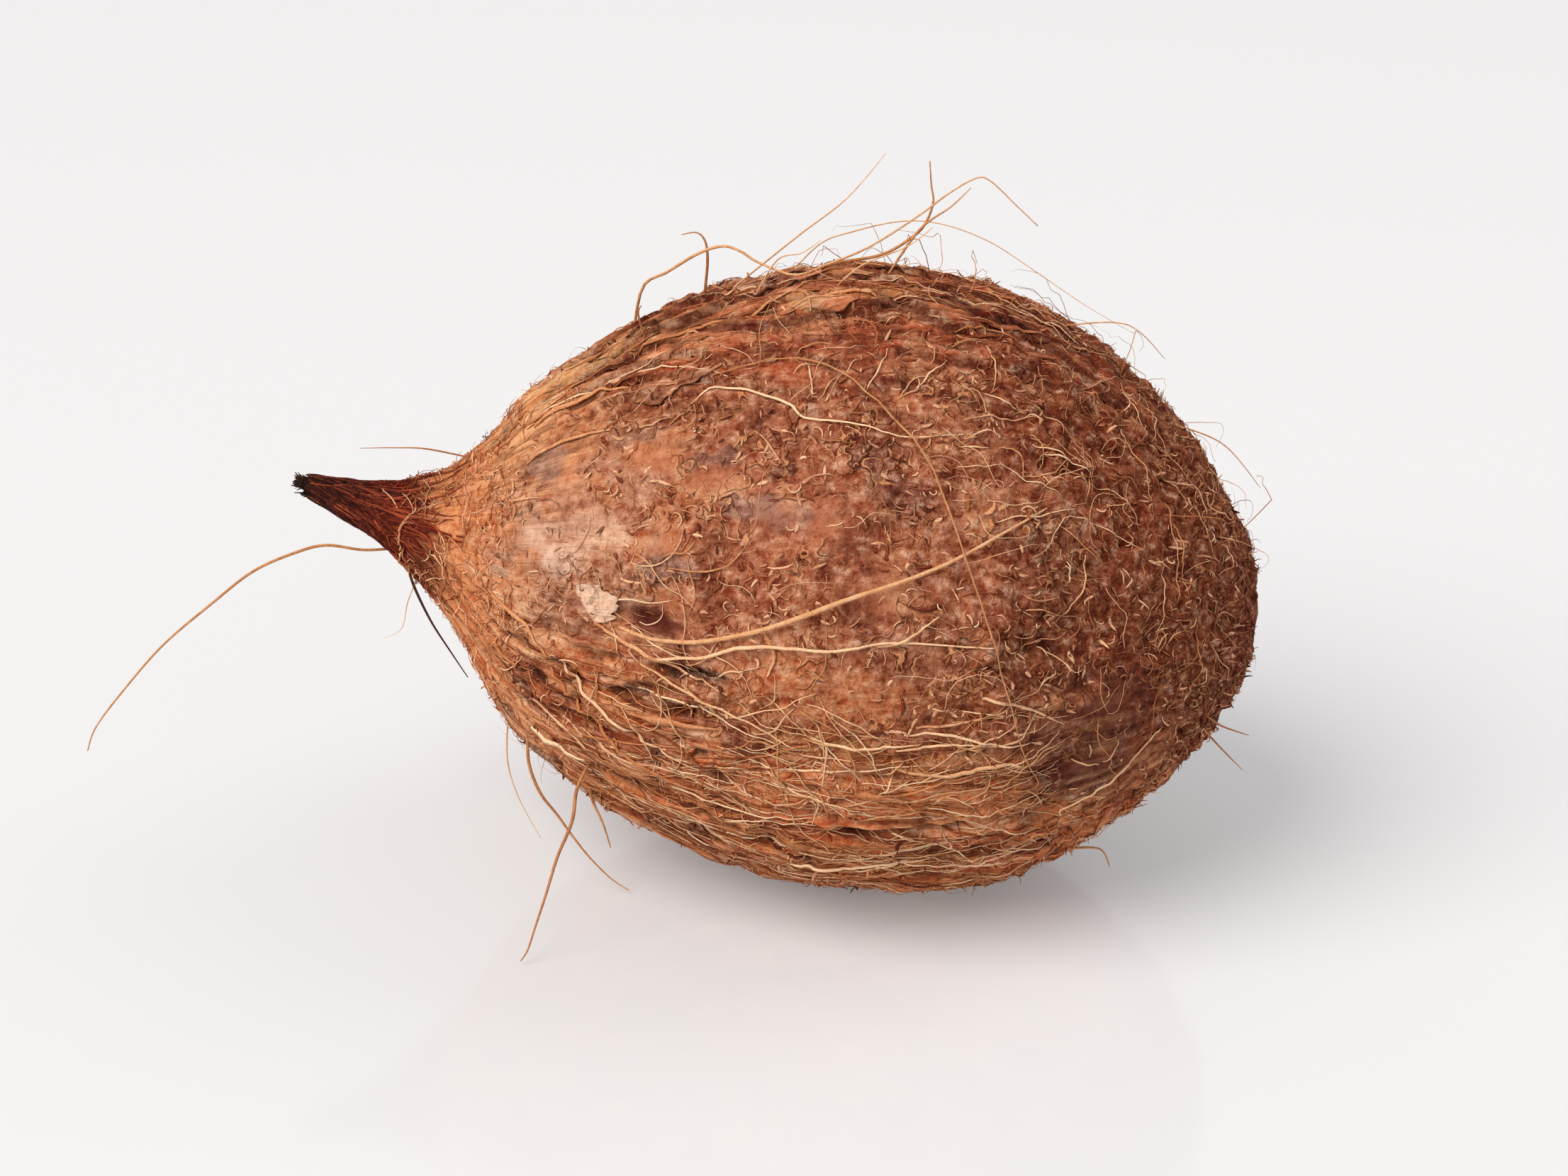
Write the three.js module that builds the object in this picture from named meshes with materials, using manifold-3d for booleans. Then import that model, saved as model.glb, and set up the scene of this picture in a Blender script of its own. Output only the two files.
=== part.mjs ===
// A semi-husked brown coconut lying on its side: the grown nut with its tuft of coir,
// and the longest loose coir fibres, which stand away from its skin.
//
// Millimetres, +Z up. +X runs from the tuft to the round base. The origin is the middle
// of the small flat spot that the nut rests on.
//
// A place on the skin is given by its distance from the tip of the tuft, measured along
// X, and by its angle round the long axis: 0 degrees is +Y, 90 is up, 270 is down.

import * as THREE from 'three';
import { mergeVertices } from 'three/addons/utils/BufferGeometryUtils.js';
import Module from 'manifold-3d';

const wasm = await Module();
wasm.setup();

// ---- Driving dimensions ----

const TIP_X = -94; // tip of the tuft
const LENGTH = 162.4; // tip of the tuft to the base pole
const AXIS_HEIGHT = 50.8; // long axis above the surface, at the shoulder
const SHOULDER = 75; // distance from the tip at which the long axis is highest
const BASE_DROP = 2.9; // fall of the axis from the shoulder to the base pole
const TUFT_LENGTH = 36; // stretch over which the tuft turns up
const TUFT_LIFT = 13.8; // how far that turn lifts the tip
const TUFT_CORNER = 0.08; // softness of the turn, as a share of its length
const LOBES = 3; // faint ridges along the nut, one of them on top
const LOBE_SHARE = 0.012; // how far a ridge stands out, as a share of the radius
const LOBE_START = 30; // distance at which the ridges begin, and over which they rise
const AROUND = 72; // corners round the nut
const ALONG = 40; // steps from the tip to the base
const FIBRE_SIDES = 6;
const FIBRE_STEP = 1.6; // longest step along a loose fibre
const FIBRE_GAP = 0.35; // clearance between a loose fibre's root and the skin

// Outline of the nut: [distance from the tip, radius].
const OUTLINE = [
  [0, 0], [0.6, 1.7], [6, 3.0], [12, 4.7], [18, 7.4], [24, 11.4], [30, 18.6], [37, 28.0],
  [47, 36.4], [60, 43.6], [75, 49.2], [90, 52.2], [104, 52.0], [118, 49.4], [131, 43.4],
  [143, 34.4], [153, 23.8], [160.4, 10.0], [LENGTH, 0],
];

// Loose fibres: thickness, root on the skin as [distance, angle], then the points that
// the fibre passes through, in order.
const LOOSE_FIBRES = {
  loose_fibre_tuft_long: {
    thick: 0.7,
    root: [15.5, 246],
    route: [
      [-83, -4, 52.7], [-89, -5, 53.6], [-94, -6, 52.4], [-101, -7, 49], [-108, -8, 43],
      [-116, -9, 35.5], [-123, -9, 26.5], [-127.5, -10, 20], [-129, -10, 15.5],
    ],
  },
  loose_fibre_neck_lower: {
    thick: 0.6,
    root: [18, 250],
    route: [[-74, -5, 46.5], [-71, -7, 41.5], [-67.5, -8, 36.5], [-64.5, -9, 32.5]],
  },
  loose_fibre_neck_upper: {
    thick: 0.5,
    root: [28, 92],
    route: [[-72, 0, 70.6], [-78, 0, 69.8], [-84, 0, 69.4]],
  },
  loose_fibre_crest_long: {
    thick: 0.8,
    root: [54, 76],
    route: [
      [-37, 7, 98.5], [-33, 5, 103.5], [-29, 4, 106], [-25, 3, 107], [-22, 2, 106.6],
      [-19, 1, 105.2], [-13, -1, 104], [-8, -1, 106], [-1, -1, 109.5], [7, -1, 115.5],
      [11, -1, 119], [15.5, -1, 122], [18, -1, 121.5], [22, -1, 118], [26, -1, 114.5],
    ],
  },
  loose_fibre_crest_bent: {
    thick: 0.7,
    root: [82, 85],
    route: [
      [-7, 4, 104.6], [1, 4, 106.6], [6, 4, 110], [8, 4, 112.5], [9, 4, 116],
      [8.5, 4, 119], [8, 4, 123],
    ],
  },
  loose_fibre_crest_straight: {
    thick: 0.5,
    root: [70, 80],
    route: [[-13, 10, 107], [-6, 12, 112.5], [-2, 13, 117], [1, 14, 121]],
  },
  loose_fibre_crest_arched: {
    thick: 0.5,
    root: [80, 70],
    route: [
      [-9, 18, 103.5], [-4, 19, 105.5], [4, 20, 107.5], [11, 20, 107.5], [19, 20, 105],
      [26, 20, 101], [36, 19, 95], [45, 18, 90.5],
    ],
  },
  loose_fibre_crest_hook: {
    thick: 0.6,
    root: [66, 79],
    route: [[-27.5, 8, 102.5], [-28, 8, 106], [-29.5, 8, 107.5], [-32, 8, 107]],
  },
  loose_fibre_foot_long: {
    thick: 0.7,
    root: [51.5, 213],
    route: [
      [-44, -35, 25.5], [-44.5, -38, 21], [-46.5, -41, 16], [-48, -43.5, 10.5],
      [-49.5, -46, 5.5], [-50.5, -48, 2.3], [-51.5, -49, 0.8],
    ],
  },
  loose_fibre_foot_short: {
    thick: 0.7,
    root: [40, 229],
    route: [
      [-53, -20.5, 22.5], [-51, -21, 17.5], [-48, -21, 13.5], [-45, -21.5, 9.5],
      [-42, -22, 6], [-38.5, -22, 2.5], [-35.5, -22.5, 0.8],
    ],
  },
};

const outline = new THREE.SplineCurve(OUTLINE.map(([distance, radius]) => {
  return new THREE.Vector2(radius, distance);
}));

// ---- Shape of the nut ----

// Height of the long axis: a shallow parabola, plus a soft-cornered ramp at the tuft.
function axisHeight(distance) {
  const bow = ((distance - SHOULDER) / (LENGTH - SHOULDER)) ** 2;
  const toTip = (TUFT_LENGTH - distance) / TUFT_LENGTH;
  const ramp = (toTip + Math.hypot(toTip, TUFT_CORNER)) / 2;
  return AXIS_HEIGHT - BASE_DROP * bow + TUFT_LIFT * ramp;
}

// Swell of the three faint ridges at an angle in radians.
function lobeSwell(distance, angle) {
  const rise = THREE.MathUtils.clamp((distance - LOBE_START) / LOBE_START, 0, 1);
  return 1 + LOBE_SHARE * rise * Math.cos(LOBES * (angle - Math.PI / 2));
}

// Radius of the outline at a distance from the tip, found by halving.
function radiusAt(distance) {
  let low = 0;
  let high = 1;
  for (let pass = 0; pass < 40; pass += 1) {
    const middle = (low + high) / 2;
    if (outline.getPoint(middle).y < distance) low = middle;
    else high = middle;
  }
  return outline.getPoint(low).x;
}

// Point above the skin at a distance from the tip and an angle in degrees.
function overSkin([distance, degrees], clearance) {
  const angle = THREE.MathUtils.degToRad(degrees);
  const radius = radiusAt(distance) * lobeSwell(distance, angle) + clearance;
  return new THREE.Vector3(
    TIP_X + distance,
    radius * Math.cos(angle),
    axisHeight(distance) + radius * Math.sin(angle),
  );
}

// ---- Solids ----

function toSolid(geometry) {
  const bare = geometry.clone();
  bare.deleteAttribute('normal');
  bare.deleteAttribute('uv');
  const merged = mergeVertices(bare, 1e-5);
  const corners = merged.index.array;
  const kept = [];
  for (let i = 0; i < corners.length; i += 3) {
    const [a, b, c] = corners.slice(i, i + 3);
    if (a !== b && b !== c && c !== a) kept.push(a, b, c);
  }
  return new wasm.Manifold(new wasm.Mesh({
    numProp: 3,
    vertProperties: new Float32Array(merged.attributes.position.array),
    triVerts: new Uint32Array(kept),
  }));
}

function toGeometry(solid) {
  const { vertProperties, triVerts } = solid.getMesh();
  const geometry = new THREE.BufferGeometry();
  geometry.setAttribute('position', new THREE.BufferAttribute(vertProperties, 3));
  geometry.setIndex(new THREE.BufferAttribute(triVerts, 1));
  geometry.computeVertexNormals();
  return geometry;
}

// The outline turned about its axis, laid along X, bent and ridged, then cut flat where
// it dips below the surface that it rests on.
function nutGeometry() {
  const turned = new THREE.LatheGeometry(outline.getPoints(ALONG), AROUND);
  const position = turned.attributes.position;
  for (let i = 0; i < position.count; i += 1) {
    const distance = position.getY(i);
    const across = position.getZ(i);
    const up = position.getX(i);
    const swell = lobeSwell(distance, Math.atan2(up, across));
    position.setXYZ(i, TIP_X + distance, across * swell, axisHeight(distance) + up * swell);
  }
  const below = new THREE.BoxGeometry(LENGTH, LENGTH, LENGTH);
  below.translate(0, 0, -LENGTH / 2);
  return toGeometry(toSolid(turned).subtract(toSolid(below)));
}

// A round section carried along a smooth curve through the fibre's points.
function fibreGeometry({ thick, root, route }) {
  const points = route.map((point) => new THREE.Vector3(...point));
  const start = overSkin(root, thick / 2 + FIBRE_GAP);
  const curve = new THREE.CatmullRomCurve3([start, ...points]);
  const section = new THREE.Shape();
  for (let side = 0; side < FIBRE_SIDES; side += 1) {
    const angle = (side / FIBRE_SIDES) * 2 * Math.PI;
    const corner = [Math.cos(angle) * thick / 2, Math.sin(angle) * thick / 2];
    if (side === 0) section.moveTo(...corner);
    else section.lineTo(...corner);
  }
  section.closePath();
  return new THREE.ExtrudeGeometry(section, {
    steps: Math.ceil(curve.getLength() / FIBRE_STEP),
    extrudePath: curve,
  });
}

// ---- Materials and scene graph ----

const coirSkin = new THREE.MeshStandardMaterial({
  name: 'coir_skin', color: 0x8c5034, roughness: 0.9, metalness: 0,
});
const coirFibre = new THREE.MeshStandardMaterial({
  name: 'coir_fibre', color: 0xb4855a, roughness: 0.75, metalness: 0,
});

function namedMesh(name, geometry, material) {
  const mesh = new THREE.Mesh(geometry, material);
  mesh.name = name;
  return mesh;
}

const coconut = new THREE.Group();
coconut.add(namedMesh('nut_with_tuft', nutGeometry(), coirSkin));
for (const [name, fibre] of Object.entries(LOOSE_FIBRES)) {
  coconut.add(namedMesh(name, fibreGeometry(fibre), coirFibre));
}

export default coconut;
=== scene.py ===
"""A semi-husked brown coconut lying on its side, with its coat of coir.

The nut's skin, its tuft and every fibre are surfaces worked out with numpy, in metres, in
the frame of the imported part: +X runs from the tuft to the round base, +Z is up, and the
nut rests on the surface at z = 0.

A place on the skin has two numbers. The first is how far it is from the tip of the tuft,
either straight along X (a distance) or along the skin (an arc). The second is its angle
round the long axis: 0 degrees is +Y, 90 is up and 180 faces the camera.
"""

import itertools
import logging
import math
from dataclasses import dataclass, field
from enum import Enum
from typing import Dict, List, Sequence, Tuple, Union

import bpy
import numpy as np
from mathutils import Euler, Matrix, Vector


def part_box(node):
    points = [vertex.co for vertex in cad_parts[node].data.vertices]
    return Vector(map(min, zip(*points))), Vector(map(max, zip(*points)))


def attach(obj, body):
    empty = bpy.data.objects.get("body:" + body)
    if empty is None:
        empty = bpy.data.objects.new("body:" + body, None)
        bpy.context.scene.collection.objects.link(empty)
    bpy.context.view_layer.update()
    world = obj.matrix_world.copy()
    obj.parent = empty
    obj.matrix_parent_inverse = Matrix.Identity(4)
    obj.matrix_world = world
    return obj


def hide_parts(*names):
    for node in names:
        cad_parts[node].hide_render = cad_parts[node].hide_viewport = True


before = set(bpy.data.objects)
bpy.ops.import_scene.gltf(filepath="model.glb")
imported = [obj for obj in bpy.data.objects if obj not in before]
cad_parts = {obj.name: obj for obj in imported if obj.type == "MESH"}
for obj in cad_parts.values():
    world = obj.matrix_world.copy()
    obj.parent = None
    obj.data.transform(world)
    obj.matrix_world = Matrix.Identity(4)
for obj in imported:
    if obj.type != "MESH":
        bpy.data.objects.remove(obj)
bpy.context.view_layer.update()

LOG = logging.getLogger("coconut")
MM = 0.001
FULL_TURN = 2.0 * math.pi
# Fibres stay this far above the surface.
LOWEST = 0.02 * MM

Pair = Tuple[float, float]
Course = Tuple[np.ndarray, np.ndarray]
Point = Tuple[float, float, float]
Colour = Tuple[float, float, float, float]

TWIST = np.array(Euler((0.6, 0.9, 0.4)).to_matrix())
LEVEL = np.eye(3)


# ---------------------------------------------------------------------------
# Numbers on whole arrays
# ---------------------------------------------------------------------------


def lattice_values(cells: np.ndarray, seed: int) -> np.ndarray:
    """Gives each whole-number cell a fixed random number from -1 to 1, by mixing its bits.

    Args:
        cells: Whole numbers, three to a cell on the last axis.
        seed: Picks one of many such patterns.

    Returns:
        One number per cell.
    """
    x, y, z = (cells[..., axis].astype(np.uint64) for axis in range(3))
    word = np.uint64(0xFFFFFFFF)
    bits = (x * np.uint64(73856093)) ^ (y * np.uint64(19349663)) ^ (z * np.uint64(83492791))
    bits = (bits + np.uint64(seed) * np.uint64(2654435761)) & word
    for shift, factor in ((16, 2246822519), (13, 3266489917), (16, 668265263)):
        bits = ((bits ^ (bits >> np.uint64(shift))) * np.uint64(factor)) & word
    return bits.astype(float) / 2.0**31 - 1.0


def smooth_noise(points: np.ndarray, seed: int) -> np.ndarray:
    """Value noise: lattice numbers blended by s*s*(3 - 2*s) along each axis.

    Args:
        points: Places in cells of one unit, three to a place on the last axis.
        seed: Picks the pattern.

    Returns:
        One number from -1 to 1 per place.
    """
    cell = np.floor(points).astype(np.int64)
    part = points - cell
    ease = part * part * (3.0 - 2.0 * part)
    total = np.zeros(points.shape[:-1])
    for corner in itertools.product((0, 1), repeat=3):
        pick = np.array(corner)
        weight = np.prod(np.where(pick == 1, ease, 1.0 - ease), axis=-1)
        total += weight * lattice_values(cell + pick, seed)
    return total


def layered_noise(
    points: np.ndarray, seed: int, layers: int, fall: float = 0.5, turn: np.ndarray = TWIST
) -> np.ndarray:
    """Sum of smooth noises, each twice as fine as the last, turned, and weaker.

    Args:
        points: Places in cells of one unit.
        seed: Picks the pattern.
        layers: Number of noises.
        fall: Strength of each noise over the one before.
        turn: Rotation between noises, which hides the lattice; LEVEL for stretched noise.

    Returns:
        One number per place.
    """
    total = np.zeros(points.shape[:-1])
    share = 1.0
    for layer in range(layers):
        total += share * smooth_noise(points, seed + 17 * layer)
        points = points @ turn * 2.0
        share *= fall
    return total


def fade(value: np.ndarray, start: float, end: float) -> np.ndarray:
    """Rises smoothly from 0 at start to 1 at end, whichever of the two is larger."""
    part = np.clip((value - start) / (end - start), 0.0, 1.0)
    return part * part * (3.0 - 2.0 * part)


def through_points(points: np.ndarray, count: int) -> np.ndarray:
    """Uniform Catmull-Rom curve through the points, sampled evenly in its parameter.

    Args:
        points: The points on the first axis, with any number of coordinates.
        count: How many samples to return.

    Returns:
        The samples, on the first axis.
    """
    points = np.asarray(points, float)
    ends = np.vstack([points[:1], points, points[-1:]])
    place = np.linspace(0.0, len(points) - 1.0, count)
    index = np.minimum(place.astype(int), len(points) - 2)
    t = (place - index)[:, None]
    a, b, c, d = (ends[index + offset] for offset in range(4))
    return 0.5 * (
        2.0 * b
        + (c - a) * t
        + (2.0 * a - 5.0 * b + 4.0 * c - d) * t**2
        + (3.0 * b - a - 3.0 * c + d) * t**3
    )


def unit(vectors: np.ndarray) -> np.ndarray:
    """Scales each vector on the last axis to length 1."""
    length = np.linalg.norm(vectors, axis=-1, keepdims=True)
    return vectors / np.maximum(length, 1e-12)


def angle_gap(angle: np.ndarray, centre: float) -> np.ndarray:
    """Shortest turn from centre to each angle, in radians, from -pi to pi."""
    return (angle - centre + math.pi) % FULL_TURN - math.pi


def linear(code: str) -> np.ndarray:
    """Turns a six-figure screen colour into linear red, green and blue."""
    channels = np.array([int(code[i : i + 2], 16) / 255.0 for i in (0, 2, 4)])
    return np.where(channels <= 0.04045, channels / 12.92, ((channels + 0.055) / 1.055) ** 2.4)


def mixed(first: np.ndarray, second: np.ndarray, share: np.ndarray) -> np.ndarray:
    """Colours between first and second, by a share for each place."""
    return first + (second - first) * share[..., None]


def wander(rng: np.random.Generator, count: int, steps: int, size: float) -> np.ndarray:
    """Smooth random offsets that start at 0: a summed random walk of turns.

    Args:
        rng: The random source.
        count: Rows.
        steps: Columns.
        size: Typical final offset.

    Returns:
        Offsets, one row per fibre.
    """
    draws = rng.normal(0.0, 1.0, (count, steps))
    smooth = (draws + np.roll(draws, 1, axis=1) + np.roll(draws, 2, axis=1)) / 3.0
    total = np.cumsum(smooth, axis=1)
    return size * (total - total[:, :1]) / math.sqrt(steps)


def taper(steps: int, root: float = 0.8, tip: float = 0.25, peak: float = 0.3) -> np.ndarray:
    """Thickness along a fibre: from root to 1 at the peak, then down to tip."""
    return np.interp(np.linspace(0.0, 1.0, steps), [0.0, peak, 1.0], [root, 1.0, tip])


# ---------------------------------------------------------------------------
# Meshes
# ---------------------------------------------------------------------------


def mesh_object(
    name: str,
    vertices: np.ndarray,
    quads: np.ndarray,
    caps: np.ndarray,
    uv: np.ndarray,
    values: Dict[str, np.ndarray],
) -> bpy.types.Object:
    """Puts whole arrays into one smooth-shaded mesh object at the origin.

    Args:
        name: Name of the object and its mesh.
        vertices: Corner places, one row each.
        quads: Four vertex numbers to a row.
        caps: Rows of three or more vertex numbers, all of one length.
        uv: One row per face corner, quads first.
        values: Attributes on the vertices: one column or three.

    Returns:
        The new object, linked to the scene.
    """
    mesh = bpy.data.meshes.new(name)
    corners = np.concatenate([quads.ravel(), caps.ravel()]).astype(np.int32)
    sizes = np.concatenate([np.full(len(quads), 4), np.full(len(caps), caps.shape[1])])
    starts = np.concatenate([[0], np.cumsum(sizes)[:-1]]).astype(np.int32)
    mesh.vertices.add(len(vertices))
    mesh.loops.add(len(corners))
    mesh.polygons.add(len(sizes))
    mesh.vertices.foreach_set("co", np.asarray(vertices, np.float32).ravel())
    mesh.loops.foreach_set("vertex_index", corners)
    mesh.polygons.foreach_set("loop_start", starts)
    mesh.polygons.foreach_set("use_smooth", np.ones(len(sizes), bool))
    layer = mesh.uv_layers.new(name="OFBake")
    layer.uv.foreach_set("vector", np.asarray(uv, np.float32).ravel())
    for key, array in values.items():
        wide = array.ndim == 2
        kind, slot = ("FLOAT_VECTOR", "vector") if wide else ("FLOAT", "value")
        attribute = mesh.attributes.new(key, kind, "POINT")
        attribute.data.foreach_set(slot, np.asarray(array, np.float32).ravel())
    mesh.update(calc_edges=True)
    mesh.validate()
    piece = bpy.data.objects.new(name, mesh)
    bpy.context.scene.collection.objects.link(piece)
    return piece


@dataclass
class Fibres:
    """A batch of fibres: an oval section carried along each centre line.

    A corner of the section at angle a is path + wide*cos(a)*side + thick*sin(a)*up, where
    side and up are square to the path, and up leans to the given upward direction.
    """

    paths: np.ndarray
    wide: np.ndarray
    thick: np.ndarray
    upward: np.ndarray
    tone: np.ndarray
    ground: np.ndarray
    sides: int = 3

    def picked(self, pick: slice) -> "Fibres":
        """The same batch with only some of its fibres."""
        parts = (self.paths, self.wide, self.thick, self.upward, self.tone, self.ground)
        return Fibres(*(part[pick] for part in parts), sides=self.sides)

    def build(self, name: str) -> bpy.types.Object:
        """Makes one mesh object of the whole batch.

        Args:
            name: Name of the object.

        Returns:
            The object, with its attributes and a map of one strip per fibre.
        """
        count, steps, _ = self.paths.shape
        tangent = unit(np.gradient(self.paths, axis=1))
        side = unit(np.cross(self.upward, tangent))
        up = np.cross(tangent, side)
        turn = np.arange(self.sides) * FULL_TURN / self.sides
        ring = (
            self.paths[:, :, None]
            + (self.wide[..., None] * np.cos(turn))[..., None] * side[:, :, None]
            + (self.thick[..., None] * np.sin(turn))[..., None] * up[:, :, None]
        )
        ring[..., 2] = np.maximum(ring[..., 2], LOWEST)
        number = np.arange(count * steps * self.sides).reshape(count, steps, self.sides)
        following = np.roll(number, -1, axis=2)
        quads = np.stack(
            [number[:, :-1], following[:, :-1], following[:, 1:], number[:, 1:]], axis=-1
        ).reshape(-1, 4)
        caps = np.concatenate([number[:, 0, ::-1], number[:, -1]])
        along = np.linspace(0.0, 1.0, steps)
        whole = (count, steps, self.sides)
        ground = np.broadcast_to(self.ground[:, None, None], (*whole, 3))
        values = {
            "tone": np.broadcast_to(self.tone[:, None, None], whole).ravel(),
            "along": np.broadcast_to(along[None, :, None], whole).ravel(),
            "ground": ground.reshape(-1, 3),
        }
        uv = self.strip_map(count, steps)
        return mesh_object(name, ring.reshape(-1, 3), quads, caps, uv, values)

    def strip_map(self, count: int, steps: int) -> np.ndarray:
        """Lays each fibre out as its own flat strip, in a square grid of strips.

        Args:
            count: Number of fibres.
            steps: Rings on each fibre.

        Returns:
            One row per face corner: the quads' corners, then both sets of caps.
        """
        columns = max(1, int(math.sqrt(count / 4.0)))
        rows = math.ceil(count / columns)
        which = np.arange(count)
        corner = np.stack([which % columns, which // columns], axis=-1)
        cell = np.array([1.0 / columns, 1.0 / rows])
        ring = np.arange(steps - 1)[:, None, None] + np.array([0, 0, 1, 1])
        turn = np.arange(self.sides)[None, :, None] + np.array([0, 1, 1, 0])
        ring, turn = np.broadcast_arrays(ring, turn)
        strip = np.stack([ring / (steps - 1.0), turn / self.sides], axis=-1).reshape(-1, 2)
        ends = []
        for place in (0.0, 1.0):
            edge = np.linspace(0.0, 1.0, self.sides)
            ends.append(np.stack([np.full(self.sides, place), edge], axis=-1))
        blocks = [strip, *ends]
        gap, used = 0.04, 0.92
        maps = [(corner[:, None] + gap + used * block[None]) * cell for block in blocks]
        return np.concatenate([part.reshape(-1, 2) for part in maps])


# ---------------------------------------------------------------------------
# Shape and colour of the skin
# ---------------------------------------------------------------------------

# Outline of the nut, in millimetres: distance from the tip of the tuft, and radius.
OUTLINE = (
    (0, 0), (0.6, 1.7), (6, 3.0), (12, 4.7), (18, 7.4), (24, 11.4), (30, 18.6), (37, 28.0),
    (47, 36.4), (60, 43.6), (75, 49.2), (90, 52.2), (104, 52.0), (118, 49.4), (131, 43.4),
    (143, 34.4), (153, 23.8), (160.4, 10.0), (162.4, 0),
)


@dataclass(frozen=True)
class Patch:
    """An oval region of the skin, in mm and degrees.

    The bump exp(-(run gap / run)^2 - (sweep gap / sweep)^2) has its run along the skin
    and its sweep round it.
    """

    distance: float
    angle: float
    run: float
    sweep: float
    colour: str = ""
    share: float = 1.0


@dataclass(frozen=True)
class Band:
    """A colour that comes in between two distances, ragged by reach mm."""

    colour: str
    start: float
    end: float
    share: float = 1.0
    reach: float = 4.0


@dataclass(frozen=True)
class Crack:
    """A split between two layers of coir: its route, depth and width in mm.

    The lip on the side that lift names stands up: 1 for larger angles, -1 for smaller.
    """

    route: Sequence[Pair]
    depth: float
    width: float
    lift: float = 1.0


CRACKS = (
    Crack(((68, 98), (76, 99), (84, 100.5), (91, 102.5), (100, 105)), 1.8, 0.9, -1),
    Crack(((54, 104), (56, 103), (62, 102), (69, 100.5), (78, 98.5)), 1.7, 0.8, -1),
    Crack(((55, 124), (58, 121.7), (61, 120), (66, 119), (72, 116)), 1.6, 0.7, -1),
    Crack(((84, 208), (92, 209), (102, 207), (113, 206.3), (120, 206), (128, 209)), 2.7, 0.9, 1),
    Crack(((98, 108), (108, 110), (117, 113), (126, 118)), 1.0, 0.8, -1),
    Crack(((43, 158), (45, 165), (48, 169), (50.5, 172.5)), 1.5, 0.55, 1),
    Crack(((28, 178.5), (31, 176), (34, 173)), 1.0, 0.5, 1),
    Crack(((46, 78), (58, 80), (72, 79), (88, 82)), 1.2, 0.9, 1),
    Crack(((60, 20), (74, 22), (90, 19), (104, 21)), 1.5, 0.9, 1),
    Crack(((50, 335), (66, 331), (84, 333)), 1.4, 0.8, -1),
    Crack(((88, 300), (104, 303), (120, 301)), 1.2, 0.8, 1),
    Crack(((52, 50), (66, 48), (84, 51)), 1.4, 0.8, 1),
)

# Hollows, each with its depth in mm.
HOLLOWS = (
    (Patch(59.5, 168.0, 3.4, 1.8), 1.7), (Patch(63.5, 169.5, 3.6, 1.9), 1.5),
    (Patch(68.5, 178.5, 4.5, 1.3), 1.9), (Patch(47.6, 189.2, 1.5, 0.9), 2.2),
    (Patch(50.2, 191.0, 1.2, 0.7), 1.6), (Patch(53.6, 160.5, 2.4, 0.7), 1.2),
    (Patch(44.5, 187.0, 1.6, 0.5), 1.3), (Patch(70.0, 34.0, 2.0, 1.2), 1.8),
    (Patch(84.0, 60.0, 3.0, 1.0), 1.3), (Patch(112.0, 20.0, 2.4, 1.4), 1.6),
)

# Parts that are smoother and barer than the rest.
SMOOTH = (
    Patch(61, 134, 6, 4), Patch(70, 139, 6, 4), Patch(79, 146, 6, 4), Patch(64, 153, 5, 3),
    Patch(45, 132, 8, 6), Patch(40, 150, 7, 6), Patch(50, 150, 6, 5), Patch(98, 160, 6, 4),
    Patch(88, 148, 5, 4), Patch(133, 195, 11, 7), Patch(135, 184, 10, 7), Patch(62, 168, 6, 4),
    Patch(38, 110, 7, 8), Patch(82, 30, 8, 6), Patch(74, 12, 6, 6), Patch(96, 350, 7, 6),
    Patch(58, 60, 8, 6),
    Patch(132, 330, 9, 6), Patch(48, 30, 8, 7), Patch(46, 300, 8, 7),
)

# Colours that change along the nut, paler towards the tuft and darker towards the base: partly the
# husk's own colour, partly painted light from the left and painted shade on the base end. Then those of
# the neck and the tuft, over the rest.
BANDS = (
    Band("8e452a", 108, 138, 0.9, 8), Band("864a30", 136, 156, 0.6, 8),
    Band("c27e55", 74, 50, 0.85, 7), Band("d39265", 56, 40, 0.75, 6),
)
NECK_BANDS = (
    Band("d58c5c", 39, 29, 0.85, 5), Band("6e200f", 26, 18, 1.0, 5),
    Band("5f2014", 17, 10, 0.8, 5), Band("3d1f14", 11, 4, 0.8, 5),
    Band("231410", 5, 1.0, 1.0, 3),
)
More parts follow.
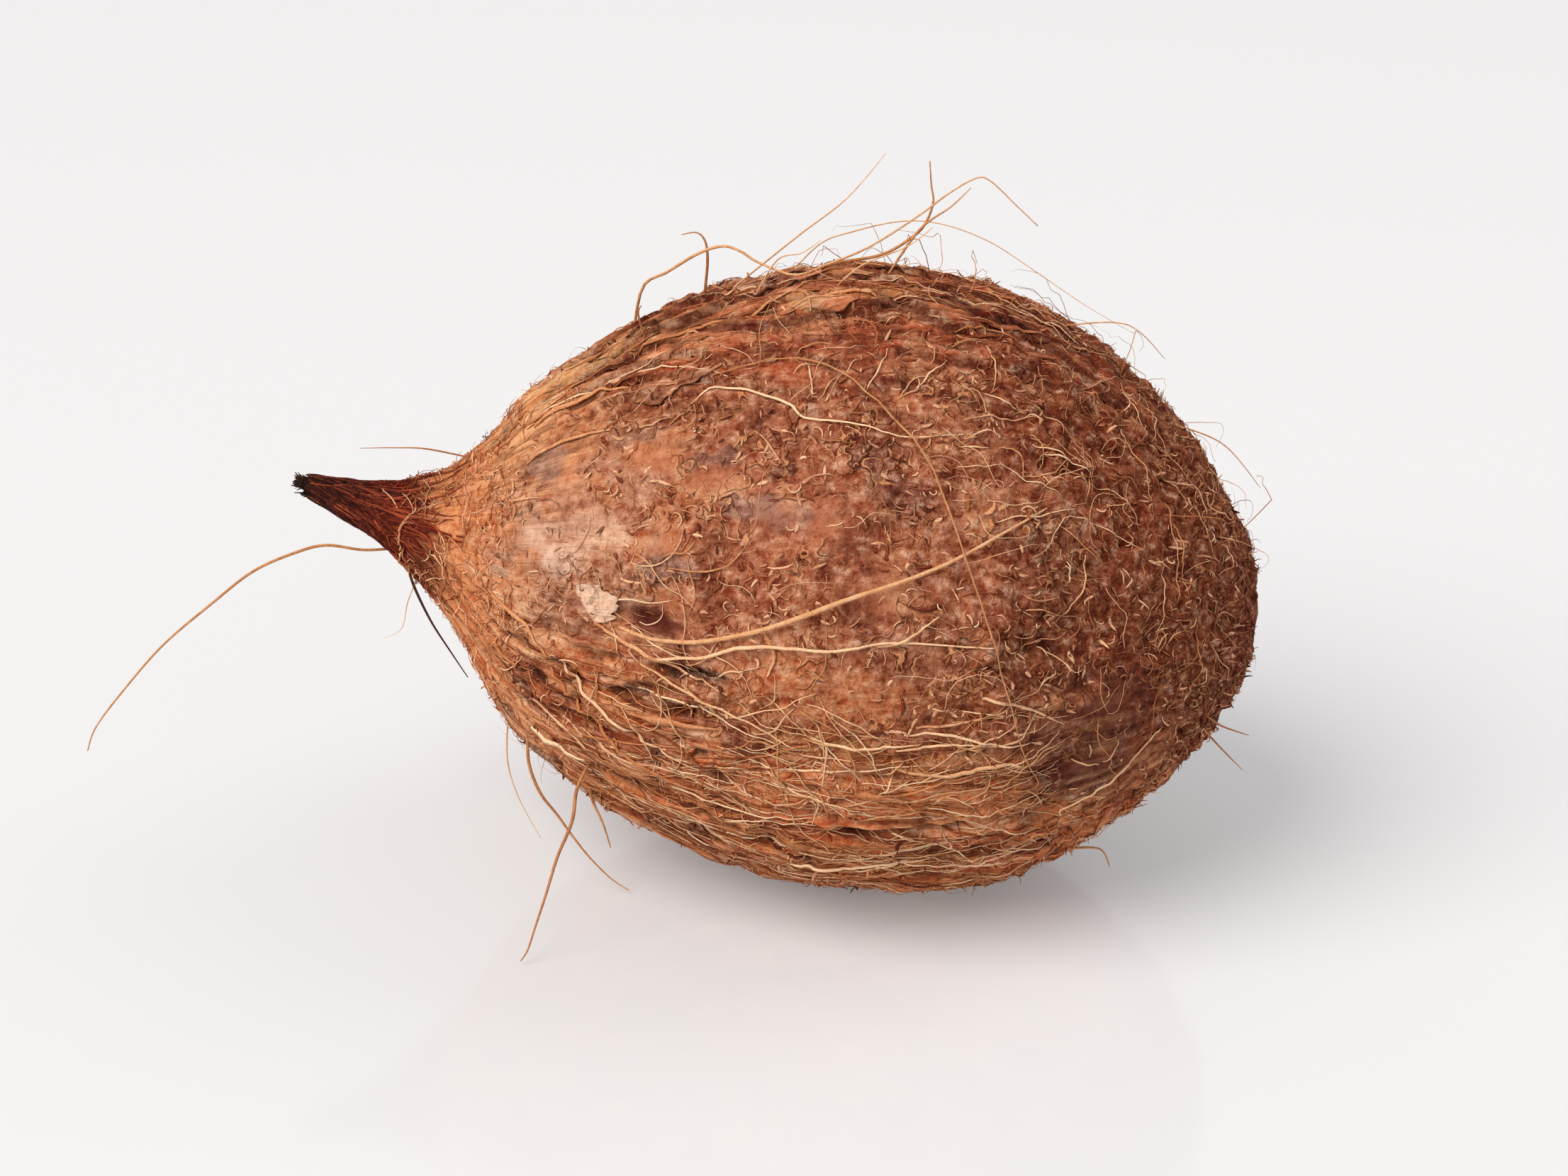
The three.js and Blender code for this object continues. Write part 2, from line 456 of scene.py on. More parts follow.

# Local colours: long sides first, then pale, grey, dark and golden patches. Three of the dark ones, in
# the hollows, are painted shade.
STAINS = (
    Patch(92, 94, 48, 22, "b35c3a", 0.9), Patch(96, 214, 46, 22, "d88454", 0.95),
    Patch(112, 232, 40, 16, "dc8a58", 0.9), Patch(88, 180, 16, 8, "c07650", 0.8),
    Patch(90, 310, 50, 30, "945032", 0.9), Patch(92, 45, 50, 26, "9a5838", 0.9),
    Patch(48, 152, 18, 17, "b5826a", 0.6), Patch(50, 196, 18, 9, "a4583a", 0.8),
    Patch(36, 96, 12, 12, "e0a878", 0.9), Patch(48, 92, 14, 6, "d29a66", 0.9),
    Patch(47, 156, 5, 3, "d8b49c", 0.8), Patch(43, 151, 5, 3, "d4ac92", 0.75),
    Patch(51, 149, 6, 2.5, "cda086", 0.7), Patch(39, 140, 6, 4, "d3a283", 0.6),
    Patch(55, 152, 4, 2.5, "d8aa8a", 0.6), Patch(38, 167, 5, 4, "dfa67c", 0.6),
    Patch(70, 142.5, 7, 1.2, "d6a078", 0.7), Patch(40, 20, 8, 6, "e2b592", 0.9),
    Patch(52, 350, 8, 5, "dcab86", 0.8), Patch(44, 290, 8, 6, "ddae8a", 0.8),
    Patch(63.5, 158, 5, 2.6, "8f6557", 0.85), Patch(76, 145, 5, 2.4, "9c7262", 0.8),
    Patch(84, 147, 5, 3, "9a6a58", 0.7), Patch(70, 135.5, 5, 2, "80564a", 0.8),
    Patch(58, 128, 5, 2.2, "9d6f5c", 0.7), Patch(36, 158, 3.5, 3, "b58a74", 0.8),
    Patch(31, 150, 3, 3, "b98c72", 0.7), Patch(100, 142, 6, 3, "8b5645", 0.7),
    Patch(94, 136, 4, 2.4, "835142", 0.6), Patch(43, 128, 5, 3, "b28670", 0.7),
    Patch(86, 28, 7, 4, "8f6557", 0.7), Patch(72, 10, 7, 4, "946a5b", 0.7),
    Patch(100, 335, 7, 4, "8f6557", 0.6), Patch(66, 300, 6, 4, "94685a", 0.6),
    # Painted shade in three hollows.
    Patch(62, 168.8, 5, 2.0, "74382a", 0.85), Patch(69, 178.5, 5, 1.6, "3b2420", 0.85),
    Patch(48.5, 190, 3.4, 1.4, "46251a", 0.85),
    Patch(52, 184, 9, 5, "b5653a", 0.8), Patch(58, 192, 9, 4, "a4562f", 0.8),
    Patch(46, 196, 7, 4, "b8683e", 0.7), Patch(78, 182, 9, 3, "b9764c", 0.6),
    Patch(70, 100, 16, 2.0, "bf8651", 0.8), Patch(90, 96, 18, 1.6, "b67c4a", 0.7),
    Patch(104, 192, 10, 3, "b87848", 0.7), Patch(88, 188, 10, 2, "c08a58", 0.7),
    Patch(94, 178, 10, 6, "b87048", 0.7), Patch(92, 214, 20, 2.4, "bd8452", 0.6),
    Patch(124, 152, 9, 8, "804732", 0.7), Patch(126, 168, 10, 7, "84492f", 0.6),
    Patch(135, 184, 12, 8, "683023", 0.9), Patch(132, 197, 12, 7, "602c20", 0.95),
    Patch(122, 186, 6, 4, "7a4530", 0.6), Patch(148, 184, 8, 8, "8a5238", 0.5),
    Patch(140, 160, 6, 6, "8b5136", 0.6), Patch(112, 178, 7, 4, "a86844", 0.6),
    Patch(104, 170, 8, 5, "a2654a", 0.6), Patch(37.5, 228, 6, 4, "c79a7c", 0.9),
    Patch(42, 232, 5, 3, "b3917b", 0.8), Patch(39, 205, 5, 4, "d9a27a", 0.7),
    Patch(60, 118, 10, 3, "8a4a33", 0.7), Patch(66, 124, 8, 3, "95553b", 0.6),
    Patch(122, 120, 16, 13, "80391f", 0.65),
    Patch(130, 60, 14, 8, "6f3d2c", 0.7), Patch(128, 320, 12, 8, "6a3828", 0.7),
)


@dataclass
class Husk:
    """The grown nut: an outline turned about a gently bent axis, ridged and roughened.

    With r the outline's radius at an arc, and a the angle, a point is
    (tip + distance, q*cos(a), axis height + q*sin(a)), where q is r times a three-fold
    swell, moved out along the skin's normal by the relief.
    """

    low: Vector
    high: Vector
    rows: int = 203
    corners: int = 488
    axis_height: float = 50.8
    shoulder: float = 75.0
    base_drop: float = 2.9
    tuft_length: float = 36.0
    tuft_lift: float = 13.8
    tuft_corner: float = 0.08
    lobe_share: float = 0.012
    lobe_start: float = 30.0

    def __post_init__(self) -> None:
        """Measures the outline along its arc, then works out the relief.

        Rows of the grid lie closer where the nut is wide: their spacing goes as
        1/(radius + 14 mm).
        """
        curve = through_points(np.array(OUTLINE, float), 4000)
        self.length = OUTLINE[-1][0]
        self.scale = (self.high.x - self.low.x) / (self.length * MM)
        self._distance = np.maximum.accumulate(curve[:, 0])
        self._radius = np.maximum(curve[:, 1], 0.0)
        leg = np.hypot(np.diff(self._distance), np.diff(self._radius))
        self._arc = np.concatenate([[0.0], np.cumsum(leg)])
        self.arc_length = float(self._arc[-1])
        even = np.linspace(0.0, self.arc_length, 2000)
        weight = np.cumsum(self.radius(even) + 14.0)
        weight = (weight - weight[0]) / (weight[-1] - weight[0])
        self.row_arcs = np.interp(np.linspace(0.0, 1.0, self.rows + 1), weight, even)
        angle = np.arange(self.corners) * FULL_TURN / self.corners
        self.grid_arc, self.grid_angle = np.meshgrid(self.row_arcs, angle, indexing="ij")
        self.relief = self.make_relief(self.grid_arc, self.grid_angle)

    def distance(self, arc: np.ndarray) -> np.ndarray:
        """Distance from the tip, in mm, at an arc in mm."""
        return np.interp(arc, self._arc, self._distance)

    def arc_at(self, distance: np.ndarray) -> np.ndarray:
        """Arc in mm at a distance from the tip in mm."""
        return np.interp(distance, self._distance, self._arc)

    def radius(self, arc: np.ndarray) -> np.ndarray:
        """Radius of the outline in mm at an arc in mm."""
        return np.interp(arc, self._arc, self._radius)

    def axis_at(self, distance: np.ndarray) -> np.ndarray:
        """Height of the long axis in mm: a shallow parabola and a soft ramp at the tuft."""
        bow = ((distance - self.shoulder) / (self.length - self.shoulder)) ** 2
        to_tip = (self.tuft_length - distance) / self.tuft_length
        ramp = (to_tip + np.hypot(to_tip, self.tuft_corner)) / 2.0
        return self.axis_height - self.base_drop * bow + self.tuft_lift * ramp

    def bare_frame(
        self, arc: np.ndarray, angle: np.ndarray
    ) -> Tuple[np.ndarray, np.ndarray, np.ndarray, np.ndarray]:
        """The smooth skin without relief, in mm.

        Args:
            arc: Arcs in mm.
            angle: Angles in radians.

        Returns:
            Places, outward normals, and directions along and round the skin.
        """
        arc, angle = np.broadcast_arrays(np.asarray(arc, float), np.asarray(angle, float))
        distance = self.distance(arc)
        rise = np.clip((distance - self.lobe_start) / self.lobe_start, 0.0, 1.0)
        swell = 1.0 + self.lobe_share * rise * np.cos(3.0 * (angle - math.pi / 2.0))
        radius = self.radius(arc) * swell
        reach = 0.6
        ahead, behind = self.distance(arc + reach), self.distance(arc - reach)
        slope_x = ahead - behind
        slope_r = self.radius(arc + reach) - self.radius(arc - reach)
        slope_z = self.axis_at(ahead) - self.axis_at(behind)
        cos, sin = np.cos(angle), np.sin(angle)
        tip = self.low.x / MM
        place = np.stack(
            [
                tip + distance * self.scale,
                radius * cos * self.scale,
                (self.axis_at(distance) + radius * sin) * self.scale,
            ],
            axis=-1,
        )
        along = unit(np.stack([slope_x, slope_r * cos, slope_r * sin + slope_z], axis=-1))
        around = np.stack([np.zeros_like(cos), -sin, cos], axis=-1)
        normal = unit(np.cross(around, along))
        return place, normal, along, around

    def grain(self, angle: np.ndarray, arc: np.ndarray, around: float, run: float) -> np.ndarray:
        """Noise places whose cells are stretched along the meridians.

        Args:
            angle: Angles in radians.
            arc: Arcs in mm.
            around: Cells to one radian.
            run: Length of a cell in mm.

        Returns:
            Three numbers per place, without a seam round the nut.
        """
        return np.stack([np.cos(angle) * around, np.sin(angle) * around, arc / run], axis=-1)

    def bump(self, patch: Patch, arc: np.ndarray, angle: np.ndarray) -> np.ndarray:
        """The patch's bump, from 0 to 1, measured on the skin."""
        run = (arc - self.arc_at(patch.distance)) / patch.run
        sweep = angle_gap(angle, math.radians(patch.angle)) * self.radius(arc) / patch.sweep
        return np.exp(-(run**2) - sweep**2)

    def crack_relief(self, crack: Crack, arc: np.ndarray, angle: np.ndarray) -> np.ndarray:
        """Height of one crack: a narrow groove beside a raised lip.

        The gap g to the route is signed. The height is the lip's
        exp(-((g - 1.6w)/1.8w)^2) less the groove's exp(-(g/w)^2), both fading at the ends.

        Args:
            crack: The crack.
            arc: Arcs in mm.
            angle: Angles in radians.

        Returns:
            Heights in mm.
        """
        route = through_points(np.array(crack.route, float), 24)
        along = self.arc_at(route[:, 0])
        sweep = np.radians(route[:, 1])
        middle = float(np.mean(sweep))
        gap = np.full(np.shape(arc), 1e3)
        part = np.zeros(np.shape(arc))
        x, y = arc, angle_gap(angle, middle) * self.radius(arc)
        px, py = along, (sweep - middle) * self.radius(along)
        for index in range(len(route) - 1):
            leg = np.array([px[index + 1] - px[index], py[index + 1] - py[index]])
            size = float(np.hypot(*leg))
            run = ((x - px[index]) * leg[0] + (y - py[index]) * leg[1]) / size**2
            run = np.clip(run, 0.0, 1.0)
            off_x = x - px[index] - run * leg[0]
            off_y = y - py[index] - run * leg[1]
            away = np.hypot(off_x, off_y)
            nearer = away < np.abs(gap)
            gap = np.where(nearer, away * np.sign(leg[0] * off_y - leg[1] * off_x), gap)
            part = np.where(nearer, (index + run) / (len(route) - 1.0), part)
        ends = np.sqrt(np.clip(4.0 * part * (1.0 - part), 0.0, 1.0))
        wobble = 0.75 + 0.45 * smooth_noise(np.stack([x / 3.0, y / 9.0, x * 0.0], -1), 5)
        groove = np.exp(-((gap / crack.width) ** 2))
        shifted = (gap * crack.lift - crack.width * 1.6) / (crack.width * 1.8)
        lip = 0.4 * np.exp(-(shifted**2))
        return crack.depth * ends * wobble * (lip - groove)

    def fibrous(self, arc: np.ndarray, angle: np.ndarray) -> np.ndarray:
        """Share of long ridged coir, from 0 where crumbly pith shows to 1."""
        distance = self.distance(arc)
        left = 0.75 * fade(distance, 64.0, 42.0) * fade(distance, 20.0, 34.0)
        left = left * (1.0 - 0.65 * self.near_angle(angle, 152.0, 0.6))
        low_left = fade(distance, 84.0, 58.0) * self.near_angle(angle, 200.0, 0.5)
        top = self.near_angle(angle, 92.0, 0.42)
        foot = self.near_angle(angle, 226.0, 0.6)
        back = 0.6 * self.near_angle(angle, 330.0, 0.5)
        end = fade(distance, 156.0, 132.0)
        return np.clip(np.maximum.reduce([left, low_left, top, foot, back]) * end, 0.0, 1.0)

    def near_angle(self, angle: np.ndarray, degrees: float, width: float) -> np.ndarray:
        """A bump of the given width in radians about an angle in degrees."""
        return np.exp(-((angle_gap(angle, math.radians(degrees)) / width) ** 2))

    def plates(self, arc: np.ndarray, angle: np.ndarray) -> np.ndarray:
        """Overlapping strips of coir on the crest, from -0.5 to 0.5.

        Their number round the nut is whole; a strip rises across its width, and drops at
        its lower edge, whose line a stretched noise bends.
        """
        strips = 46
        place = angle / FULL_TURN * strips
        place = place + 1.5 * smooth_noise(self.grain(angle, arc, 2.4, 34.0), 91)
        place = place + 0.35 * smooth_noise(self.grain(angle, arc, 7.0, 9.0), 92)
        return place - np.floor(place) - 0.5

    def ridges(self, arc: np.ndarray, angle: np.ndarray) -> np.ndarray:
        """Cords of coir along the meridians: sharp valleys at -0.75, rounded tops near 1."""
        warp = 0.25 * smooth_noise(self.bare_frame(arc, angle)[0] / 14.0, 71)[..., None]
        rope = layered_noise(self.grain(angle, arc, 11.0, 26.0) + warp, 11, 2, turn=LEVEL)
        cord = layered_noise(self.grain(angle, arc, 27.0, 13.0) + warp, 23, 2, turn=LEVEL)
        return 1.5 * np.abs(rope) + 0.9 * np.abs(cord) - 0.75

    def slots(self, arc: np.ndarray, angle: np.ndarray) -> np.ndarray:
        """Narrow gaps between cords, from 0 to 1, deepest on the lower left."""
        near = self.near_angle(angle, 198.0, 0.42) * fade(self.distance(arc), 34.0, 44.0)
        near = near * fade(self.distance(arc), 84.0, 66.0)
        gaps = fade(smooth_noise(self.grain(angle, arc, 27.0, 3.8), 83), 0.25, 0.6)
        return gaps * np.maximum(near, 0.75 * self.fibrous(arc, angle) * (1.0 - self.matted(arc)))

    def matted(self, arc: np.ndarray) -> np.ndarray:
        """Share of the rough matted base, from 0 to 1."""
        return fade(self.distance(arc), 96.0, 128.0)

    def smooth(self, arc: np.ndarray, angle: np.ndarray) -> np.ndarray:
        """Share of smooth bare skin, from 0 to 1."""
        return np.maximum.reduce([self.bump(patch, arc, angle) for patch in SMOOTH])

    def crest(self, arc: np.ndarray, angle: np.ndarray) -> np.ndarray:
        """Share of the plated crest, from 0 to 1."""
        ends = fade(self.distance(arc), 40.0, 58.0) * fade(self.distance(arc), 152.0, 126.0)
        return self.near_angle(angle, 96.0, 0.5) * ends

    def make_relief(self, arc: np.ndarray, angle: np.ndarray) -> np.ndarray:
        """Height of the rough skin over the smooth one, in mm.

        Long ridges come from noise stretched along the meridians, crumbs and pits from
        even noise, and cracks and hollows from their own bumps.

        Args:
            arc: Arcs in mm.
            angle: Angles in radians.

        Returns:
            Heights in mm.
        """
        place = self.bare_frame(arc, angle)[0]
        distance = self.distance(arc)
        lumps = np.abs(layered_noise(place / 3.3, 31, 2, 0.55))
        crumbs = layered_noise(place / 1.9, 43, 2)
        pits = np.clip(-layered_noise(place / 2.9, 37, 2) - 0.34, 0.0, 1.0)
        swell = layered_noise(place / 17.0, 41, 2)
        fibrous = self.fibrous(arc, angle)
        rough = self.matted(arc)
        smooth = self.smooth(arc, angle)
        crest = self.crest(arc, angle) * (1.0 - 0.5 * rough)
        even = (1.0 - 0.7 * fibrous) * (1.0 - 0.75 * smooth)
        height = 0.5 * swell + fibrous * 0.8 * self.ridges(arc, angle) * (1.0 - 0.35 * rough)
        height += even * (0.85 * lumps + 0.34 * crumbs - 0.32) - even * 1.5 * pits
        height += rough * (1.0 - 0.7 * smooth) * (
            1.25 * np.abs(layered_noise(place / 4.4, 53, 3, 0.6)) - 0.42)
        height += 1.5 * crest * self.plates(arc, angle) - 1.5 * self.slots(arc, angle)
        for crack in CRACKS:
            height += self.crack_relief(crack, arc, angle)
        for patch, depth in HOLLOWS:
            height -= depth * self.bump(patch, arc, angle)
        sunk = 0.3
        height -= sunk
        slim = fade(distance, 4.0, 34.0) * 0.75 + 0.25
        return height * slim * fade(self.radius(arc), 0.0, 6.0)

    def relief_at(self, arc: np.ndarray, angle: np.ndarray) -> np.ndarray:
        """Relief between the grid's corners, blended over each cell as the mesh is."""
        row = np.interp(arc, self.row_arcs, np.arange(self.rows + 1.0))
        low_row = np.minimum(row.astype(int), self.rows - 1)
        part_row = row - low_row
        column = (angle / FULL_TURN % 1.0) * self.corners
        low_column = np.floor(column).astype(int)
        part_column = column - low_column
        near, far = low_column % self.corners, (low_column + 1) % self.corners
        first = (1 - part_column) * self.relief[low_row, near]
        first = first + part_column * self.relief[low_row, far]
        second = (1 - part_column) * self.relief[low_row + 1, near]
        second = second + part_column * self.relief[low_row + 1, far]
        return (1 - part_row) * first + part_row * second

    def surface(
        self, arc: np.ndarray, angle: np.ndarray, lift: Union[float, np.ndarray] = 0.0
    ) -> np.ndarray:
        """Places over the rough skin.

        Args:
            arc: Arcs in mm.
            angle: Angles in radians.
            lift: Height over the rough skin in mm.

        Returns:
            Places in metres.
        """
        place, normal, _, _ = self.bare_frame(arc, angle)
        height = self.relief_at(np.asarray(arc), np.asarray(angle)) + lift
        return (place + normal * height[..., None]) * MM

    def normal(self, arc: np.ndarray, angle: np.ndarray) -> np.ndarray:
        """Outward normals of the smooth skin."""
        return self.bare_frame(arc, angle)[1]

    @staticmethod
    def banded(
        total: np.ndarray, bands: Sequence[Band], distance: np.ndarray, drift: np.ndarray
    ) -> np.ndarray:
        """Mixes bands of colour in.

        Args:
            total: Colours so far.
            bands: The bands.
            distance: Distances from the tip in mm.
            drift: How far each place moves a band's ends, in reaches.

        Returns:
            The new colours.
        """
        for band in bands:
            part = fade(distance + band.reach * drift, band.start, band.end)
            total = mixed(total, linear(band.colour), band.share * part)
        return total

    def colour(self, arc: np.ndarray, angle: np.ndarray) -> np.ndarray:
        """Local colour of the coir, without its fine grain, with painted shade in its cord valleys,
        under its plate edges, in its slots and hollows, and painted light and shade along its length.

        Args:
            arc: Arcs in mm.
            angle: Angles in radians.

        Returns:
            Linear red, green and blue.
        """
        place = self.bare_frame(arc, angle)[0]
        distance = self.distance(arc)
        ragged = layered_noise(place / 3.6, 61, 3, 0.6)
        mottle = layered_noise(place / 6.0, 63, 3, 0.65)
        streak = layered_noise(self.grain(angle, arc, 17.0, 24.0), 67, 3, 0.6, turn=LEVEL)
        total = np.broadcast_to(linear("ac684a"), (*np.shape(distance), 3))
        total = mixed(total, linear("c58862"), 0.75 * fade(mottle, 0.05, 0.85))
        total = mixed(total, linear("7d3e28"), 0.75 * fade(mottle, -0.1, -0.85))
        total = self.banded(total, BANDS, distance, 0.6 * ragged + 0.6 * streak)
        for patch in STAINS:
            near = self.bump(patch, arc, angle) * (1.0 + 0.45 * ragged) + 0.12 * ragged
            total = mixed(total, linear(patch.colour), patch.share * fade(near, 0.22, 0.62))
        fibrous = self.fibrous(arc, angle)
        ridges = self.ridges(arc, angle)
        # edge: the crest plates' lower edges. Streaks below vary the coir's own colour and cord tops are
        # paler; cord valleys, plate edges and slots get painted shade.
        edge = self.crest(arc, angle) * fade(np.abs(self.plates(arc, angle)), 0.3, 0.49)
        for code, share in (
            ("db9a68", 0.45 * fibrous * fade(streak, 0.1, 0.7)),
            ("823a20", 0.5 * fibrous * fade(streak, -0.1, -0.7)),
            ("eab080", 0.5 * fibrous * fade(ridges, 0.2, 0.9)),
            ("5c1e0e", 0.85 * fibrous * fade(ridges, -0.1, -0.55)),
            ("541f10", 0.8 * edge),
            ("45190e", 0.85 * self.slots(arc, angle)),
        ):
            total = mixed(total, linear(code), share)
        return self.banded(total, NECK_BANDS, distance, 0.35 * ragged + 0.8 * streak)

    def coat_shares(self, arc: np.ndarray, angle: np.ndarray) -> np.ndarray:
        """Smooth, fibrous and matted shares of the skin, three columns from 0 to 1."""
        smooth = np.maximum(self.smooth(arc, angle), fade(self.distance(arc), 32.0, 22.0))
        return np.stack([smooth, self.fibrous(arc, angle), self.matted(arc)], axis=-1)

    def build(self, name: str) -> bpy.types.Object:
        """Makes the closed skin: rings between two pole points."""
        arc, angle = self.grid_arc[1:-1], self.grid_angle[1:-1]
        rings = self.surface(arc, angle)
        poles = self.surface(self.grid_arc[[0, -1], 0], self.grid_angle[[0, -1], 0])
        vertices = np.concatenate([rings.reshape(-1, 3), poles])
        vertices[:, 2] = np.maximum(vertices[:, 2], 0.0)
        count = self.corners
        number = np.arange(len(arc) * count).reshape(len(arc), count)
        after = np.roll(number, -1, axis=1)
        quads = np.stack([number[:-1], after[:-1], after[1:], number[1:]], -1).reshape(-1, 4)
        first, last = len(vertices) - 2, len(vertices) - 1
        tip = np.stack([np.full(count, first), after[0], number[0]], -1)
        base = np.stack([np.full(count, last), number[-1], after[-1]], -1)
        caps = np.concatenate([tip, base])
        all_arc = np.concatenate([arc.ravel(), [0.0, self.arc_length]])
        all_angle = np.concatenate([angle.ravel(), [0.0, 0.0]])
        values = {
            "grain": self.grain(all_angle, all_arc, 1.0, 100.0),
            "ground": self.colour(all_arc, all_angle),
            "coat": self.coat_shares(all_arc, all_angle),
            "height": self.relief_at(all_arc, all_angle),
        }
        return mesh_object(name, vertices, quads, caps, self.skin_map(len(arc)), values)

    def skin_map(self, rings: int) -> np.ndarray:
        """Unrolls the skin onto a square: turn across, arc up, and a point at each pole.

        Args:
            rings: Number of rings of vertices.

        Returns:
            One row per face corner, quads first.
        """
        count = self.corners
        turn = np.arange(count)
        level = self.row_arcs / self.arc_length
        row = np.arange(1, rings)[:, None, None] + np.array([0, 0, 1, 1])
        cell_u = (turn[None, :, None] + np.array([0, 1, 1, 0])) / count
        cell_u, cell_v = np.broadcast_arrays(cell_u, level[row])
        parts = [np.stack([cell_u, cell_v], axis=-1)]
        for order, rows in (((0.5, 1, 0), (0, 1, 1)), ((0.5, 0, 1), (-1, -2, -2))):
            end_u = (turn[:, None] + np.array(order)) / count
            end_v = level[np.array(rows)] + 0.0 * end_u
            parts.append(np.stack([end_u, end_v], axis=-1))
        margin = 0.001
        flat = np.concatenate([part.reshape(-1, 2) for part in parts])
        return flat * (1.0 - 2.0 * margin) + margin


# ---------------------------------------------------------------------------
# Materials
# ---------------------------------------------------------------------------


def tint(code: str) -> Colour:
    """Turns a six-figure screen colour into the linear colour that a shader takes."""
    return (*linear(code).tolist(), 1.0)


class Signal:
    """A shader value. Arithmetic on it adds Math nodes to its material."""

    def __init__(self, graph: "Graph", socket: bpy.types.NodeSocket) -> None:
        """Wraps one output socket of the material that graph builds."""
        self.graph = graph
        self.socket = socket

    def _math(self, operation: str, *values: object) -> "Signal":
        """Adds one Math node and returns its result."""
        inputs = dict(enumerate(values))
        return self.graph.node("ShaderNodeMath", {"operation": operation}, inputs)

    def __add__(self, other: object) -> "Signal":
        """self + other."""
        return self._math("ADD", self, other)

    def __radd__(self, other: object) -> "Signal":
        """other + self."""
        return self._math("ADD", other, self)

    def __sub__(self, other: object) -> "Signal":
        """self - other."""
        return self._math("SUBTRACT", self, other)

    def __rsub__(self, other: object) -> "Signal":
        """other - self."""
        return self._math("SUBTRACT", other, self)

    def __mul__(self, other: object) -> "Signal":
        """self * other."""
        return self._math("MULTIPLY", self, other)

    def __rmul__(self, other: object) -> "Signal":
        """other * self."""
        return self._math("MULTIPLY", other, self)

    def absolute(self) -> "Signal":
        """The value without its sign."""
        return self._math("ABSOLUTE", self)

    def between(self, start: float, end: float) -> "Signal":
        """Rises smoothly from 0 at start to 1 at end, or falls if end is the smaller."""
        settings = {"interpolation_type": "SMOOTHSTEP"}
        low, high = (0.0, 1.0) if start < end else (1.0, 0.0)
        inputs = {0: self, 1: min(start, end), 2: max(start, end), 3: low, 4: high}
        return self.graph.node("ShaderNodeMapRange", settings, inputs)

    def line(self, level: float, width: float) -> "Signal":
        """A thin line, 1 where the value is at level and 0 from width away."""
        return (self - level).absolute().between(width, 0.35 * width)


class Graph:
    """Builds one node material around a Principled shader."""

    def __init__(self, name: str, roughness: float, specular: float) -> None:
        """Starts a material with its constant shader values set on the shader itself."""
        self.material = bpy.data.materials.new(name)
        self.material.use_nodes = True
        self.tree = self.material.node_tree
        self.shader = self.tree.nodes["Principled BSDF"]
        self.shader.inputs["Roughness"].default_value = roughness
        self.shader.inputs["Specular IOR Level"].default_value = specular

    def node(self, kind: str, settings: Dict, inputs: Dict, output: Union[int, str] = 0) -> Signal:
        """Adds a node.

        Args:
            kind: The node's type name.
            settings: Properties to set first; stops are a colour ramp's.
            inputs: Values or signals by socket name or number.
            output: Name or number of the output to return.

        Returns:
            The output as a signal.
        """
        node = self.tree.nodes.new(kind)
        for key, value in settings.items():
            if key == "stops":
                while len(node.color_ramp.elements) < len(value):
                    node.color_ramp.elements.new(1.0)
                for element, (place, colour) in zip(node.color_ramp.elements, value):
                    element.position = place
                    element.color = colour
            else:
                setattr(node, key, value)
        for key, value in inputs.items():
            if isinstance(value, Signal):
                self.tree.links.new(value.socket, node.inputs[key])
            else:
                node.inputs[key].default_value = value
        return Signal(self, node.outputs[output])

    def attribute(self, name: str, output: str = "Fac") -> Signal:
        """Reads one of the piece's own attributes."""
        return self.node("ShaderNodeAttribute", {"attribute_name": name}, {}, output)

    def coordinates(self) -> Signal:
        """The piece's own place, in metres."""
        return self.node("ShaderNodeTexCoord", {}, {}, "Object")

    def split(self, vector: Signal) -> List[Signal]:
        """The three parts of a vector."""
        parts = self.node("ShaderNodeSeparateXYZ", {}, {0: vector})
        return [Signal(self, socket) for socket in parts.socket.node.outputs]

    def noise(self, vector: Signal, scale: float, detail: float, rough: float = 0.5) -> Signal:
        """Noise from 0 to 1 on a vector."""
        inputs = {"Vector": vector, "Scale": scale, "Detail": detail, "Roughness": rough}
        return self.node("ShaderNodeTexNoise", {}, inputs)

    def stretch(self, vector: Signal, factors: Point) -> Signal:
        """A vector with each part multiplied."""
        settings = {"operation": "MULTIPLY"}
        return self.node("ShaderNodeVectorMath", settings, {0: vector, 1: factors})

    def blend(self, factor: object, first: object, second: object) -> Signal:
        """Colour between first and second."""
        settings = {"data_type": "RGBA"}
        return self.node("ShaderNodeMix", settings, {0: factor, 6: first, 7: second}, 2)

    def product(self, first: object, second: object) -> Signal:
        """Colours multiplied together."""
        settings = {"data_type": "RGBA", "blend_type": "MULTIPLY"}
        return self.node("ShaderNodeMix", settings, {0: 1.0, 6: first, 7: second}, 2)

    def ramp(self, factor: Signal, stops: Sequence[Tuple[float, Colour]]) -> Signal:
        """Colour from a ramp."""
        return self.node("ShaderNodeValToRGB", {"stops": stops}, {0: factor})

    def bump(self, height: Signal, distance: float = MM) -> Signal:
        """Surface direction from a height, in mm unless told otherwise."""
        return self.node("ShaderNodeBump", {}, {"Height": height, "Strength": 1.0, "Distance": distance})

    def feed(self, name: str, signal: Signal) -> None:
        """Links a signal to one of the shader's inputs."""
        self.tree.links.new(signal.socket, self.shader.inputs[name])


